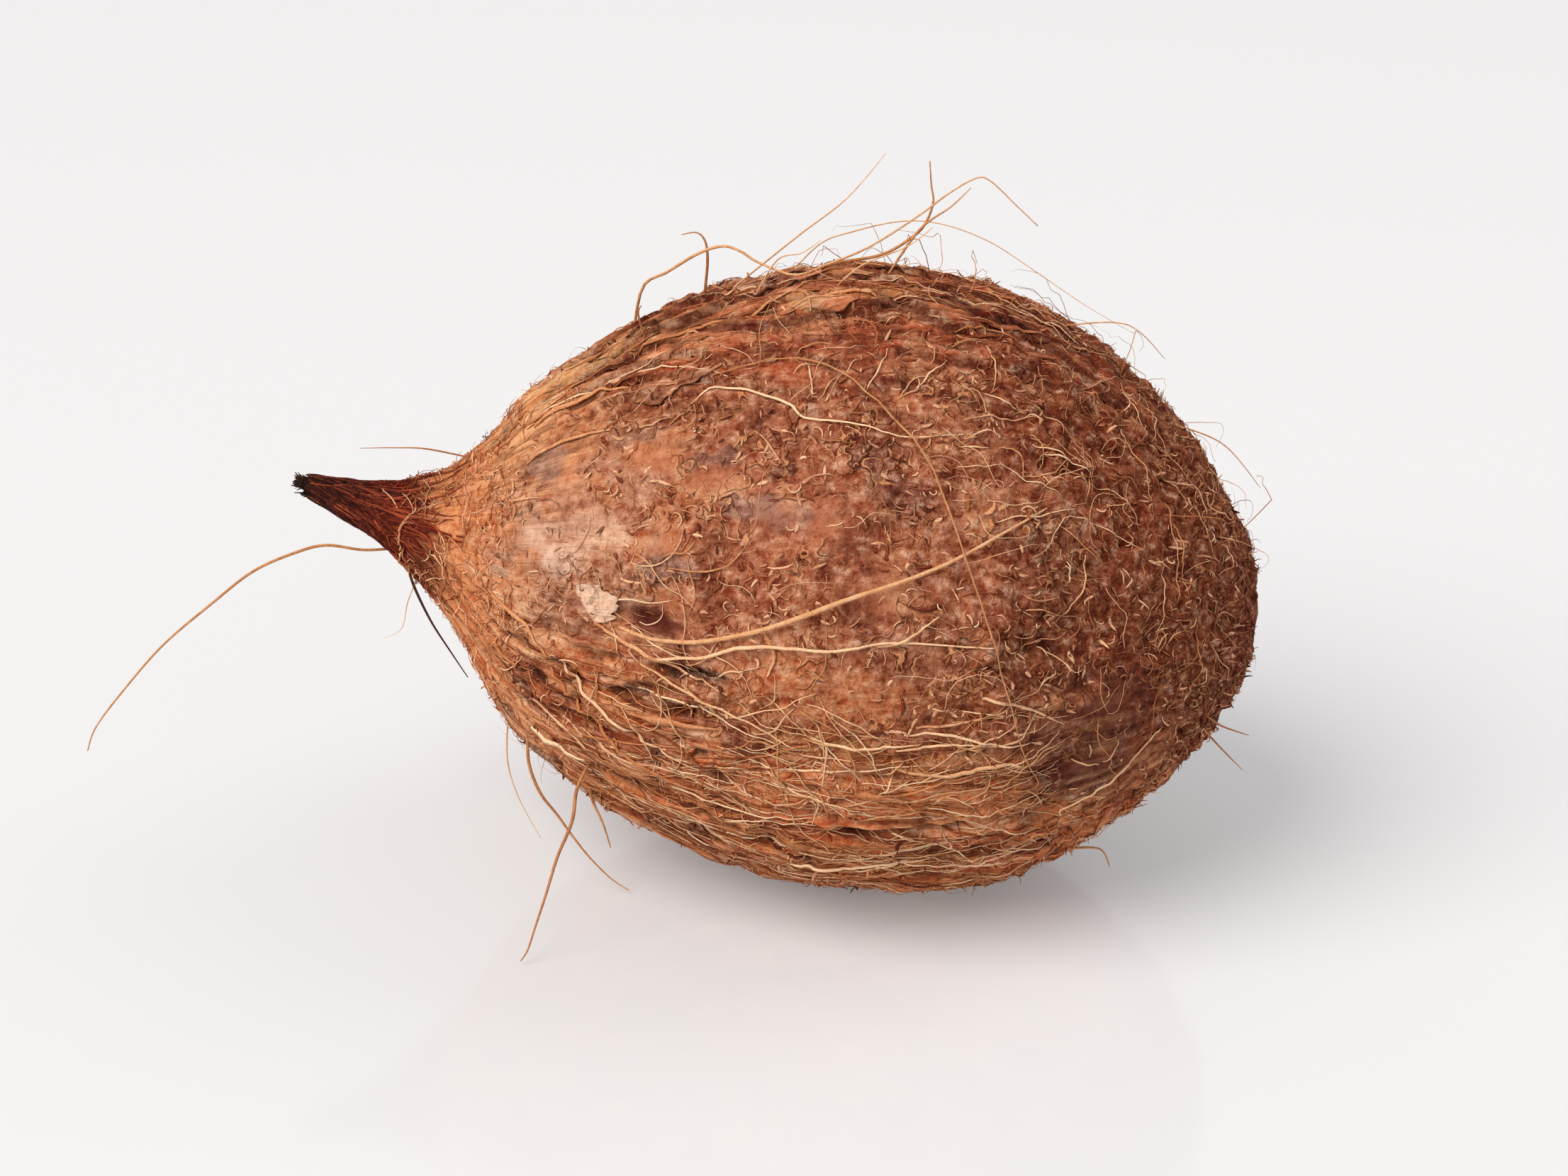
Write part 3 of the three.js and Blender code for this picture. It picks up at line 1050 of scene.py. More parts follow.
@dataclass(frozen=True)
class SkinFinish:
    """Dry pith and matted coir: crumbly, streaked along the meridians, with painted shade in pits,
    splits and beside the hooks.
    """

    name: str = "coir_skin_dry"
    cream: str = "f6cfae"
    # Painted shade: the colour of low places, splits and the line beside each hook.
    painted_shade: str = "3e150b"
    hook: str = "e8a06a"

    def build(self) -> bpy.types.Material:
        """Makes the material.

        The shaded colour is the skin's own colour multiplied by itself, painted shade for the
        hollows; the light one leans to cream, partly the pale pith's own colour and partly a
        painted highlight on raised tops; and crumbs and streaks choose between them.

        Returns:
            The material.
        """
        g = Graph(self.name, roughness=0.88, specular=0.08)
        place = g.coordinates()
        ground = g.attribute("ground", "Vector")
        smooth, fibrous, matted = g.split(g.attribute("coat", "Vector"))
        height = g.attribute("height")
        grain = g.attribute("grain", "Vector")
        crumbs = g.noise(place, 560.0, 5.0, 0.68)
        fine = g.noise(place, 1800.0, 3.0, 0.6)
        streaks = g.noise(g.stretch(grain, (32.0, 32.0, 8.0)), 1.0, 5.0, 0.62)
        cords = g.noise(g.stretch(grain, (105.0, 105.0, 17.0)), 1.0, 3.0, 0.6)
        loops = g.noise(place, 330.0, 1.5, 0.4)
        where = g.noise(place, 95.0, 2.0, 0.5)
        splits = g.noise(g.stretch(grain, (19.0, 19.0, 4.0)), 1.0, 2.0, 0.5)
        rough = 1.0 - smooth * 0.6
        lengthwise = 0.25 + fibrous * 0.35
        grainy = crumbs * (1.0 - lengthwise) + streaks * lengthwise
        level = 0.5 + (grainy - 0.5) * rough
        # The skin's colour squared: painted shade for low crumbs, cord valleys and fine dips.
        shaded = g.product(ground, g.blend(0.9, (1.0, 1.0, 1.0, 1.0), ground))
        # Leaning to cream: partly the pale pith's own colour, partly a painted highlight on raised tops.
        light = g.blend(0.45, ground, tint(self.cream))
        # Crumbs and streaks, which also raise the bump, give painted shade where low and the pale colour
        # with its painted highlight where high.
        colour = g.blend(level.between(0.38, 0.54), shaded, ground)
        colour = g.blend(level.between(0.51, 0.65) * 0.95, colour, light)
        # Cords likewise: tops pale with a painted highlight, valleys in painted shade.
        colour = g.blend(cords.between(0.56, 0.76) * fibrous * 0.5, colour, light)
        colour = g.blend(cords.between(0.46, 0.3) * fibrous * 0.6, colour, shaded)
        crumbly = (1.0 - fibrous * 0.7) * (1.0 - matted * 0.3)
        hook = loops.line(0.53, 0.03) * where.between(0.5, 0.6) * crumbly * rough
        # A dark line beside each pale hook: a painted shadow.
        under = loops.line(0.49, 0.03) * where.between(0.5, 0.6) * crumbly * rough
        # Thin splits between cords, drawn in painted shade.
        gap = splits.line(0.52, 0.016) * where.between(0.42, 0.54) * (0.05 + fibrous * 0.65)
        gap = gap + splits.line(0.43, 0.013) * where.between(0.6, 0.5) * fibrous * 0.6
        colour = g.blend(under * 0.8, colour, tint(self.painted_shade))
        colour = g.blend(hook * 0.65, colour, tint(self.hook))
        # Fine noise, also in the bump: painted highlight on its high spots, painted shade on its low
        # ones.
        colour = g.blend(fine.between(0.6, 0.75) * 0.45 * rough, colour, light)
        colour = g.blend(fine.between(0.44, 0.3) * 0.6, colour, shaded)
        colour = g.blend(gap * 0.75, colour, tint(self.painted_shade))
        # Painted shade in the low places of the relief.
        colour = g.blend(height.between(-0.8, -2.3) * 0.75, colour, tint(self.painted_shade))
        g.feed("Base Color", colour)
        g.feed("Roughness", 0.72 + crumbs * 0.26)
        relief = crumbs * rough * (1.15 - fibrous * 0.5) + streaks * fibrous * 0.55
        relief = relief + cords * fibrous * 0.5 + fine * 0.22 + hook * 0.3 - gap * 0.35
        g.feed("Normal", g.bump(relief))
        return g.material


@dataclass(frozen=True)
class FibreFinish:
    """Coir fibre: dark and pale ones by their tone, taking up some of the skin's colour."""

    name: str
    dark: str
    middle: str
    pale: str
    local: float = 0.0
    roughness: float = 0.7

    def build(self) -> bpy.types.Material:
        """Makes the material."""
        g = Graph(self.name, roughness=self.roughness, specular=0.12)
        place = g.coordinates()
        patchy = g.noise(place, 450.0, 2.0)
        shreds = g.noise(place, 1900.0, 2.0)
        level = g.attribute("tone") + (patchy - 0.5) * 0.45 + (shreds - 0.5) * 0.35
        # Darker towards the root, paler towards the tip: partly the fibre's own colour, partly painted
        # shade near the skin.
        level = level + (g.attribute("along") - 0.5) * 0.12
        stops = ((0.05, tint(self.dark)), (0.5, tint(self.middle)), (0.95, tint(self.pale)))
        ground = g.attribute("ground", "Vector")
        near = g.blend(level.between(0.4, 1.0) * 0.85, ground, tint(self.pale))
        near = g.blend(level.between(0.55, 0.15) * 0.85, near, g.product(ground, ground))
        g.feed("Base Color", g.blend(self.local, g.ramp(level, stops), near))
        g.feed("Roughness", self.roughness - 0.08 + patchy * 0.16)
        g.feed("Normal", g.bump(shreds, 0.25 * MM))
        return g.material


class Coat(Enum):
    """The finishes that fibres take."""

    CRUMB = FibreFinish("coir_crumb", "4c1e0e", "ae6640", "eeb78e", 0.75, 0.85)
    SHORT = FibreFinish("coir_short", "6e2f14", "c4784a", "f6c69c", 0.5)
    MATTED = FibreFinish("coir_matted", "5c240f", "a85f36", "eab080", 0.5)
    GOLDEN = FibreFinish("coir_golden", "74300f", "c27a48", "f8d0a6", 0.2, 0.6)
    STRAW = FibreFinish("coir_straw", "844420", "c68a5a", "f2c9a0", 0.0, 0.6)
    TUFT = FibreFinish("coir_tuft", "3a1007", "702210", "ac5030", 0.75)
    DARK = FibreFinish("coir_dark", "1e100b", "3e2318", "74462f", 0.0)


# ---------------------------------------------------------------------------
# Fibres on the skin
# ---------------------------------------------------------------------------


@dataclass
class Coir:
    """Lays fibres over the husk and dresses them, with at most budget faces to a piece."""

    husk: Husk
    skin: bpy.types.Material
    materials: Dict[Coat, bpy.types.Material] = field(default_factory=dict)
    budget: int = 190000

    def finish(self, coat: Coat) -> bpy.types.Material:
        """The material of a coat, made once."""
        if coat not in self.materials:
            self.materials[coat] = coat.value.build()
        return self.materials[coat]

    def place(self, name: str, fibres: Fibres, coat: Coat, *nodes: str) -> None:
        """Builds, dresses and mounts a batch, in as many pieces as the face limit asks for.

        Args:
            name: Name of the piece; further pieces get a number.
            fibres: The batch.
            coat: Its finish.
            nodes: CAD nodes that it stands for.
        """
        count, steps, _ = fibres.paths.shape
        each = (steps - 1) * fibres.sides * 2 + 2 * (fibres.sides - 2)
        share = max(1, self.budget // each)
        for number, start in enumerate(range(0, count, share)):
            part = fibres.picked(slice(start, start + share))
            label = name if count <= share else f"{name}_{number + 1}"
            piece = part.build(label)
            piece.data.materials.append(self.finish(coat))
            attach(piece, "root")
            if nodes:
                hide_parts(*nodes)
            LOG.info("%s: %d fibres, %d faces", label, len(part.paths), len(part.paths) * each)

    def scatter(
        self, rng: np.random.Generator, count: int, distances: Pair, angles: Pair = (0.0, 360.0)
    ) -> Course:
        """Random places, even over the area between two distances and two angles.

        Args:
            rng: The random source.
            count: How many.
            distances: Nearest and furthest distance from the tip, in mm.
            angles: First and last angle, in degrees.

        Returns:
            Arcs in mm and angles in radians.
        """
        arcs = np.linspace(*self.husk.arc_at(np.array(distances)), 400)
        weight = np.cumsum(self.husk.radius(arcs))
        draws = rng.uniform(0.0, weight[-1], count)
        arc = np.interp(draws, weight, arcs)
        return arc, np.radians(rng.uniform(*angles, count))

    def kept(
        self, rng: np.random.Generator, arc: np.ndarray, angle: np.ndarray,
        chance: np.ndarray, seed: int, size: float = 7.0,
    ) -> Course:
        """Thins out places by a chance, and patchily by a noise.

        Args:
            rng: The random source.
            arc: Arcs in mm.
            angle: Angles in radians.
            chance: Share of places to keep, for each place.
            seed: Picks the noise.
            size: Size of the noise's patches in mm.

        Returns:
            The arcs and angles left.
        """
        place = self.husk.bare_frame(arc, angle)[0]
        dense = fade(layered_noise(place / size, seed, 2), -0.4, 0.4)
        keep = rng.uniform(0.0, 1.0, len(arc)) < chance * (0.14 + 1.16 * dense)
        return arc[keep], angle[keep]

    def walk(
        self, arc: np.ndarray, angle: np.ndarray, heading: np.ndarray, length: np.ndarray
    ) -> Course:
        """Steps over the skin from each start, one step to a column of the heading.

        Each step goes cos(heading) along the arc and sin(heading) round the nut, where the
        turn made is the step over the radius. A fibre that reaches the base turns back.

        Args:
            arc: Starting arcs in mm.
            angle: Starting angles in radians.
            heading: Heading at every step, in radians, one row per fibre.
            length: Length of each fibre in mm.

        Returns:
            Arcs and angles, one row per fibre.
        """
        first, last = 0.8, self.husk.arc_length - 0.6
        step = (length / (heading.shape[1] - 1))[:, None]
        run = np.cumsum(np.cos(heading) * step, axis=1)
        arcs = arc[:, None] + run - run[:, :1]
        arcs = last - np.abs(last - np.maximum(arcs, first))
        sweep = np.sin(heading) * step / np.maximum(self.husk.radius(arcs), 2.0)
        angles = angle[:, None] + np.cumsum(sweep, axis=1) - sweep[:, :1]
        return arcs, angles

    def laid(
        self, arcs: np.ndarray, angles: np.ndarray, lift: np.ndarray, wide: np.ndarray,
        thick: np.ndarray, tone: np.ndarray, sides: int = 3,
    ) -> Fibres:
        """Fibres whose centre lines follow the skin.

        Args:
            arcs: Arcs in mm, one row per fibre.
            angles: Angles in radians, one row per fibre.
            lift: Heights of the centre lines over the skin in mm.
            wide: Half widths in mm.
            thick: Half thicknesses in mm.
            tone: One tone per fibre, from 0 for dark to 1 for pale.
            sides: Corners of the section.

        Returns:
            The batch.
        """
        paths = self.husk.surface(arcs, angles, lift)
        upward = self.husk.normal(arcs, angles)
        ground = self.husk.colour(arcs[:, 0], angles[:, 0])
        return Fibres(paths, wide * MM, thick * MM, upward, tone, ground, sides)


@dataclass
class Layer:
    """What all the coats share: the coir that they add to."""

    coir: Coir

    @property
    def husk(self) -> Husk:
        """The husk under the coat."""
        return self.coir.husk

    def cover(
        self, name: str, coat: Coat, rng: np.random.Generator, course: Course,
        lift: np.ndarray, wide: np.ndarray, thick: np.ndarray, tone: Pair, sides: int = 3,
    ) -> None:
        """Lays a batch of fibres over the skin and builds it.

        Args:
            name: Name of the piece.
            coat: Its finish.
            rng: The random source of the tones.
            course: Where the fibres run, one row per fibre.
            lift: Heights over the skin in mm.
            wide: Half widths in mm.
            thick: Half thicknesses in mm.
            tone: Mean and spread of the tones.
            sides: Corners of the section.
        """
        tones = np.clip(rng.normal(*tone, len(course[0])), 0.0, 1.0)
        fibres = self.coir.laid(*course, lift, wide, thick, tones, sides)
        self.coir.place(name, fibres, coat)


@dataclass
class ShortCoat(Layer):
    """Flakes, curls and standing hairs that cover the whole skin."""

    flakes: int = 14000
    curls: int = 8600
    hairs: int = 6000

    def build(self) -> None:
        """Makes the three kinds."""
        self.build_flakes()
        self.build_curls()
        self.build_hairs()

    def crumbly(self, arc: np.ndarray, angle: np.ndarray, bare: float, long: float) -> np.ndarray:
        """Chance of a crumb: less on smooth skin, on long coir and on the crest.

        Args:
            arc: Arcs in mm.
            angle: Angles in radians.
            bare: Share taken off on smooth skin.
            long: Share taken off on long coir.

        Returns:
            One chance per place.
        """
        smooth, fibrous, _ = self.husk.coat_shares(arc, angle).T
        chance = (1.0 - bare * smooth) * (1.0 - long * fibrous)
        return chance * (1.0 - 0.5 * self.husk.crest(arc, angle))

    def build_flakes(self) -> None:
        """Scales and grains of pith, 0.6 to 2.4 mm long, many with a lifted tip."""
        rng = np.random.default_rng(102)
        steps = 5
        arc, angle = self.coir.scatter(rng, self.flakes, (31.0, 161.8))
        arc, angle = self.coir.kept(rng, arc, angle, self.crumbly(arc, angle, 0.9, 0.55), 131)
        count = len(arc)
        part = np.linspace(0.0, 1.0, steps)
        length = 0.6 + rng.gamma(2.2, 0.4, count)
        bend = rng.normal(0.0, 0.9, count)[:, None] * part
        heading = rng.uniform(0.0, FULL_TURN, count)[:, None] + bend
        course = self.coir.walk(arc, angle, heading, length)
        bulge = np.array([0.55, 1.0, 0.95, 0.7, 0.25])
        wide = rng.uniform(0.13, 0.42, count)[:, None] * bulge
        thick = rng.uniform(0.07, 0.16, count)[:, None] * np.array([1.0, 1.0, 0.85, 0.65, 0.4])
        curl = rng.gamma(1.6, 0.26, count)[:, None] * part**2
        lift = rng.uniform(-0.08, 0.1, count)[:, None] + np.minimum(curl, 1.3)
        self.cover("pith_flakes", Coat.CRUMB, rng, course, lift, wide, thick, (0.44, 0.26), 4)

    def build_curls(self) -> None:
        """Short thick hooks and loops, 1 to 4 mm long, that arch over the skin."""
        rng = np.random.default_rng(101)
        steps = 7
        arc, angle = self.coir.scatter(rng, self.curls, (32.0, 161.5))
        chance = self.crumbly(arc, angle, 0.85, 0.6)
        arc, angle = self.coir.kept(rng, arc, angle, chance, 137, 9.0)
        count = len(arc)
        part = np.linspace(0.0, 1.0, steps)
        length = rng.gamma(3.0, 0.42, count) + 0.7
        turn = rng.choice([-1.0, 1.0], count) * rng.gamma(3.0, 0.6, count)
        bend = turn[:, None] * part
        heading = rng.uniform(0.0, FULL_TURN, count)[:, None] + bend
        heading = heading + wander(rng, count, steps, 0.4)
        course = self.coir.walk(arc, angle, heading, length)
        arch = rng.uniform(0.1, 0.5, count)[:, None] * np.sin(math.pi * part) ** 0.7
        end = rng.uniform(-0.1, 0.5, count)[:, None] * part**2
        size = rng.uniform(0.07, 0.17, count)[:, None] * taper(steps, 0.9, 0.5)
        self.cover(
            "curls", Coat.SHORT, rng, course, arch + end - 0.04, size * 1.15, size * 0.8, (0.5, 0.28))

    def build_hairs(self) -> None:
        """Fine hairs that stand off the skin and soften its outline.

        With t from 0 to 1 along a hair, it leaves the skin at a tilt, curls aside by
        curl*t^2 of its length, and sags by 0.4*t^2 of its length.
        """
        rng = np.random.default_rng(103)
        arc, angle = self.coir.scatter(rng, self.hairs, (19.0, 162.0))
        smooth = self.husk.coat_shares(arc, angle)[:, 0]
        smooth = smooth * fade(self.husk.distance(arc), 30.0, 40.0)
        arc, angle = self.coir.kept(rng, arc, angle, 0.85 - 0.75 * smooth, 139, 11.0)
        count = len(arc)
        steps = 5
        part = np.linspace(0.0, 1.0, steps)[:, None]
        _, normal, along, around = self.husk.bare_frame(arc, angle)
        length = np.minimum(rng.gamma(1.5, 0.9, count) + 0.5, 8.0)
        swing = rng.uniform(0.0, FULL_TURN, count)[:, None]
        side = np.cos(swing) * along + np.sin(swing) * around
        other = np.cross(normal, side)
        tilt = rng.uniform(0.2, 1.25, count)[:, None, None]
        curl = rng.normal(0.0, 0.55, count)[:, None, None]
        reach = length[:, None, None] * part
        offset = reach * (np.sin(tilt) * normal[:, None] + np.cos(tilt) * side[:, None])
        offset = offset + length[:, None, None] * curl * part**2 * other[:, None]
        offset = offset - 0.4 * length[:, None, None] * part**2 * normal[:, None]
        root = self.husk.surface(arc, angle, -0.1)
        paths = root[:, None] + offset * MM
        size = rng.uniform(0.04, 0.09, count)[:, None] * taper(steps, 1.0, 0.3, 0.1) * MM
        tone = np.clip(rng.normal(0.5, 0.25, count), 0.0, 1.0)
        upward = np.broadcast_to(other[:, None], paths.shape)
        ground = self.husk.colour(arc, angle)
        hairs = Fibres(paths, size, size, upward, tone, ground)
        self.coir.place("standing_hairs", hairs, Coat.SHORT)


@dataclass
class LongCoat(Layer):
    """Matted and long fibres, ribbons, collar fuzz, tangles at the base, and whiskers."""

    matted: int = 5200
    strands: int = 560
    ribbons: int = 260
    fuzz: int = 600
    whiskers: int = 110
    clumps: int = 14

    def build(self) -> None:
        """Makes the kinds in turn."""
        self.build_matted()
        self.build_strands()
        self.build_ribbons()
        self.build_fuzz()
        self.build_clumps()
        self.build_whiskers()

    def build_matted(self) -> None:
        """Winding fibres, 3 to 14 mm long, mostly lengthwise, longest at the base."""
        rng = np.random.default_rng(201)
        steps = 11
        arc, angle = self.coir.scatter(rng, self.matted, (36.0, 161.0))
        smooth, fibrous, matted = self.husk.coat_shares(arc, angle).T
        shoulder = fade(self.husk.distance(arc), 66.0, 48.0)
        chance = (0.2 + 0.5 * matted + 0.3 * fibrous) * (1.0 - 0.96 * smooth)
        chance = chance * (1.0 - 0.6 * shoulder)
        arc, angle = self.coir.kept(rng, arc, angle, chance, 233, 9.0)
        matted = self.husk.coat_shares(arc, angle)[:, 2]
        count = len(arc)
        part = np.linspace(0.0, 1.0, steps)
        length = rng.uniform(3.0, 10.0, count) + 4.0 * matted * rng.uniform(0.0, 1.0, count)
        spread = 0.6 + 0.55 * matted
        heading = rng.normal(0.0, 1.0, count) * spread
        heading = heading + np.where(rng.uniform(0.0, 1.0, count) < 0.5, math.pi, 0.0)
        bend = rng.normal(0.0, 0.8, count)[:, None] * part
        heading = heading[:, None] + bend + wander(rng, count, steps, 1.0)
        course = self.coir.walk(arc, angle, heading, length)
        lift = 0.06 + np.abs(wander(rng, count, steps, 0.4))
        lift = np.minimum(lift, 1.2) - 0.2 * (1.0 - np.sin(math.pi * part))
        size = rng.gamma(6.0, 0.0165, count)[:, None] * taper(steps, 0.9, 0.4)
        self.cover("matted_fibres", Coat.MATTED, rng, course, lift, size * 1.1, size * 0.8, (0.42, 0.25))

    def stringy(self, arc: np.ndarray, angle: np.ndarray) -> np.ndarray:
        """Where long strands lie: the foot, the back and part of the crest."""
        near = self.husk.near_angle
        low = near(angle, 208.0, 0.42)
        return np.maximum.reduce([low, 0.75 * near(angle, 330.0, 0.7), 0.4 * near(angle, 90.0, 0.4)])

    def build_strands(self) -> None:
        """Long strands nearly along the meridians, most of them on the foot."""
        rng = np.random.default_rng(202)
        steps = 20
        arc, angle = self.coir.scatter(rng, self.strands * 4, (40.0, 116.0))
        keep = np.argsort(rng.uniform(0.0, 1.0, len(arc)) - 1.5 * self.stringy(arc, angle))
        arc, angle = arc[keep[: self.strands]], angle[keep[: self.strands]]
        count = len(arc)
        part = np.linspace(0.0, 1.0, steps)
        length = np.minimum(rng.uniform(8.0, 38.0, count), 130.0 - self.husk.distance(arc))
        heading = rng.normal(0.0, 0.12, count)[:, None] + wander(rng, count, steps, 0.34)
        course = self.coir.walk(arc, angle, heading, length)
        lift = 0.1 + np.abs(wander(rng, count, steps, 0.3))
        lift = np.minimum(lift, 1.2) * np.sin(math.pi * np.clip(part * 1.05, 0.0, 1.0)) ** 0.4
        size = rng.gamma(5.0, 0.029, count)[:, None] * taper(steps, 0.8, 0.35)
        self.cover("long_strands", Coat.GOLDEN, rng, course, lift, size * 1.15, size * 0.8, (0.56, 0.32))

    def build_ribbons(self) -> None:
        """Flat shreds of coir sheet, 0.6 to 2 mm wide, that lie along the ridges."""
        rng = np.random.default_rng(203)
        steps = 12
        arc, angle = self.coir.scatter(rng, self.ribbons * 3, (34.0, 126.0))
        fibrous = self.husk.fibrous(arc, angle)
        keep = np.argsort(rng.uniform(0.0, 1.0, len(arc)) - 1.6 * fibrous)[: self.ribbons]
        arc, angle = arc[keep], angle[keep]
        count = len(arc)
        length = rng.uniform(4.0, 17.0, count)
        heading = rng.normal(0.0, 0.12, count)[:, None] + wander(rng, count, steps, 0.2)
        course = self.coir.walk(arc, angle, heading, length)
        ragged = 1.0 + wander(rng, count, steps, 0.6)
        wide = rng.uniform(0.25, 0.8, count)[:, None] * np.clip(ragged, 0.35, 1.8)
        wide = wide * taper(steps, 0.3, 0.12, 0.35)
        thick = rng.uniform(0.08, 0.16, count)[:, None] * taper(steps, 0.6, 0.4)
        lift = 0.05 + 0.5 * np.abs(wander(rng, count, steps, 0.4))
        self.cover("coir_ribbons", Coat.MATTED, rng, course, lift, wide, thick, (0.38, 0.2), 4)

    def build_fuzz(self) -> None:
        """Short curly fibres, 2 to 8 mm long, on the collar under the tuft."""
        rng = np.random.default_rng(204)
        steps = 9
        count = self.fuzz
        arc = self.husk.arc_at(rng.uniform(17.0, 38.0, count))
        angle = rng.uniform(0.0, FULL_TURN, count)
        part = np.linspace(0.0, 1.0, steps)
        length = rng.gamma(3.0, 1.0, count) + 1.5
        heading = rng.normal(0.0, 0.7, count)[:, None] + wander(rng, count, steps, 1.1)
        course = self.coir.walk(arc, angle, heading, length)
        lift = 0.05 + np.abs(wander(rng, count, steps, 0.5)) + 0.2 * np.sin(math.pi * part)
        size = rng.uniform(0.07, 0.15, count)[:, None] * taper(steps, 0.9, 0.4)
        self.cover("collar_fuzz", Coat.SHORT, rng, course, lift, size * 1.1, size * 0.8, (0.5, 0.25))

    def build_whiskers(self) -> None:
        """Fine curly fibres, 6 to 18 mm long, that stand off the base and the crest."""
        rng = np.random.default_rng(206)
        steps = 12
        arc, angle = self.coir.scatter(rng, self.whiskers, (74.0, 158.0), (10.0, 185.0))
        count = len(arc)
        part = np.linspace(0.0, 1.0, steps)
        length = rng.uniform(6.0, 18.0, count)
        heading = rng.uniform(0.0, FULL_TURN, count)[:, None] + wander(rng, count, steps, 1.7)
        course = self.coir.walk(arc, angle, heading, length)
        rise = rng.gamma(2.0, 1.5, count)[:, None] * np.sin(math.pi * 0.75 * part) ** 1.3
        lift = np.minimum(rise, 7.0) + 0.3 * np.abs(wander(rng, count, steps, 0.6)) - 0.05
        size = rng.uniform(0.06, 0.11, count)[:, None] * taper(steps, 0.9, 0.4)
        self.cover("whiskers", Coat.GOLDEN, rng, course, lift, size, size * 0.9, (0.6, 0.2))

    def build_clumps(self) -> None:
        """Tangled knots of dark fibre ends around the base."""
        rng = np.random.default_rng(205)
        steps = 7
        middle_arc, middle_angle = self.coir.scatter(rng, self.clumps, (132.0, 160.0))
        each = 22
        count = self.clumps * each
        arc = np.repeat(middle_arc, each) + rng.normal(0.0, 1.6, count)
        radius = np.maximum(self.husk.radius(arc), 4.0)
        angle = np.repeat(middle_angle, each) + rng.normal(0.0, 1.6, count) / radius
        part = np.linspace(0.0, 1.0, steps)
        length = rng.uniform(1.5, 4.5, count)
        heading = rng.uniform(0.0, FULL_TURN, count)[:, None] + wander(rng, count, steps, 1.4)
        course = self.coir.walk(arc, angle, heading, length)
        rise = rng.uniform(0.3, 1.5, count)[:, None] * part**1.4
        size = rng.uniform(0.09, 0.17, count)[:, None] * taper(steps, 0.9, 0.4)
        self.cover("base_clumps", Coat.MATTED, rng, course, rise, size * 1.1, size * 0.8, (0.42, 0.3))


@dataclass
class Tuft(Layer):
    """The twisted tuft of coir at the stalk end and its dark frayed tip."""

    wraps: int = 420
    fingers: int = 70
    bristles: int = 90

    def build(self) -> None:
        """Makes the wrapped strands, the fingers over the collar and the bristles."""
        self.build_wraps()
        self.build_fingers()
        self.build_bristles()

    def build_wraps(self) -> None:
        """Strands that run the length of the tuft with a slight twist."""
        rng = np.random.default_rng(301)
        steps = 14
        count = self.wraps
        arc = self.husk.arc_at(rng.uniform(0.7, 15.0, count))
        angle = rng.uniform(0.0, FULL_TURN, count)
        reach = np.minimum(rng.uniform(4.0, 16.0, count), 24.0 - self.husk.distance(arc))
        heading = rng.normal(0.14, 0.12, count)[:, None] + wander(rng, count, steps, 0.3)
        course = self.coir.walk(arc, angle, heading, np.maximum(reach, 3.0))
        lift = 0.02 + 0.4 * np.abs(wander(rng, count, steps, 0.3))
        size = rng.uniform(0.1, 0.24, count)[:, None] * taper(steps, 0.7, 0.35)
        self.cover("tuft_strands", Coat.TUFT, rng, course, lift, size * 1.3, size * 0.8, (0.45, 0.2))

    def build_fingers(self) -> None:
        """Darker strands that run out of the tuft on to the collar, like roots."""
        rng = np.random.default_rng(303)
        steps = 14
        count = self.fingers
        arc = self.husk.arc_at(rng.uniform(12.0, 19.0, count))
        angle = rng.uniform(0.0, FULL_TURN, count)
        length = rng.uniform(6.0, 17.0, count)
        heading = rng.normal(0.05, 0.25, count)[:, None] + wander(rng, count, steps, 0.5)
        course = self.coir.walk(arc, angle, heading, length)
        lift = 0.08 + 0.5 * np.abs(wander(rng, count, steps, 0.3))
        size = rng.uniform(0.14, 0.34, count)[:, None] * taper(steps, 1.0, 0.3, 0.15)
        self.cover("tuft_fingers", Coat.TUFT, rng, course, lift, size * 1.2, size * 0.8, (0.6, 0.15), 4)

    def build_bristles(self) -> None:
        """Short stiff ends that fray out of the blunt tip."""
        rng = np.random.default_rng(302)
        steps = 5
        count = self.bristles
        part = np.linspace(0.0, 1.0, steps)[:, None]
        arc = rng.uniform(0.2, 3.2, count)
        angle = rng.uniform(0.0, FULL_TURN, count)
        root, normal, _, _ = self.husk.bare_frame(arc, angle)
        length = rng.uniform(0.8, 1.9, count)[:, None, None]
        way = np.array([-1.0, 0.0, 0.2]) + 0.2 * normal + rng.normal(0.0, 0.14, (count, 3))
        bend = rng.normal(0.0, 0.2, (count, 3))
        paths = root[:, None] - 0.6 * normal[:, None]
        paths = paths + length * (part * unit(way)[:, None] + part**2 * bend[:, None])
        size = rng.uniform(0.12, 0.24, count)[:, None] * taper(steps, 1.0, 0.5, 0.2) * MM
        upward = np.broadcast_to(np.array([0.0, 1.0, 0.3]), paths.shape)
        tone = rng.uniform(0.0, 0.5, count)
        ground = self.husk.colour(arc, angle)
        fibres = Fibres(paths * MM, size, size * 0.8, upward, tone, ground, sides=4)
        self.coir.place("tuft_bristles", fibres, Coat.DARK)


@dataclass(frozen=True)
class Strand:
    """One laid strand: its given route of distances and angles, and its size in mm."""

    route: Sequence[Pair]
    thick: float = 0.4
    tone: float = 0.55
    lift: float = 0.3
    arch: float = 0.25


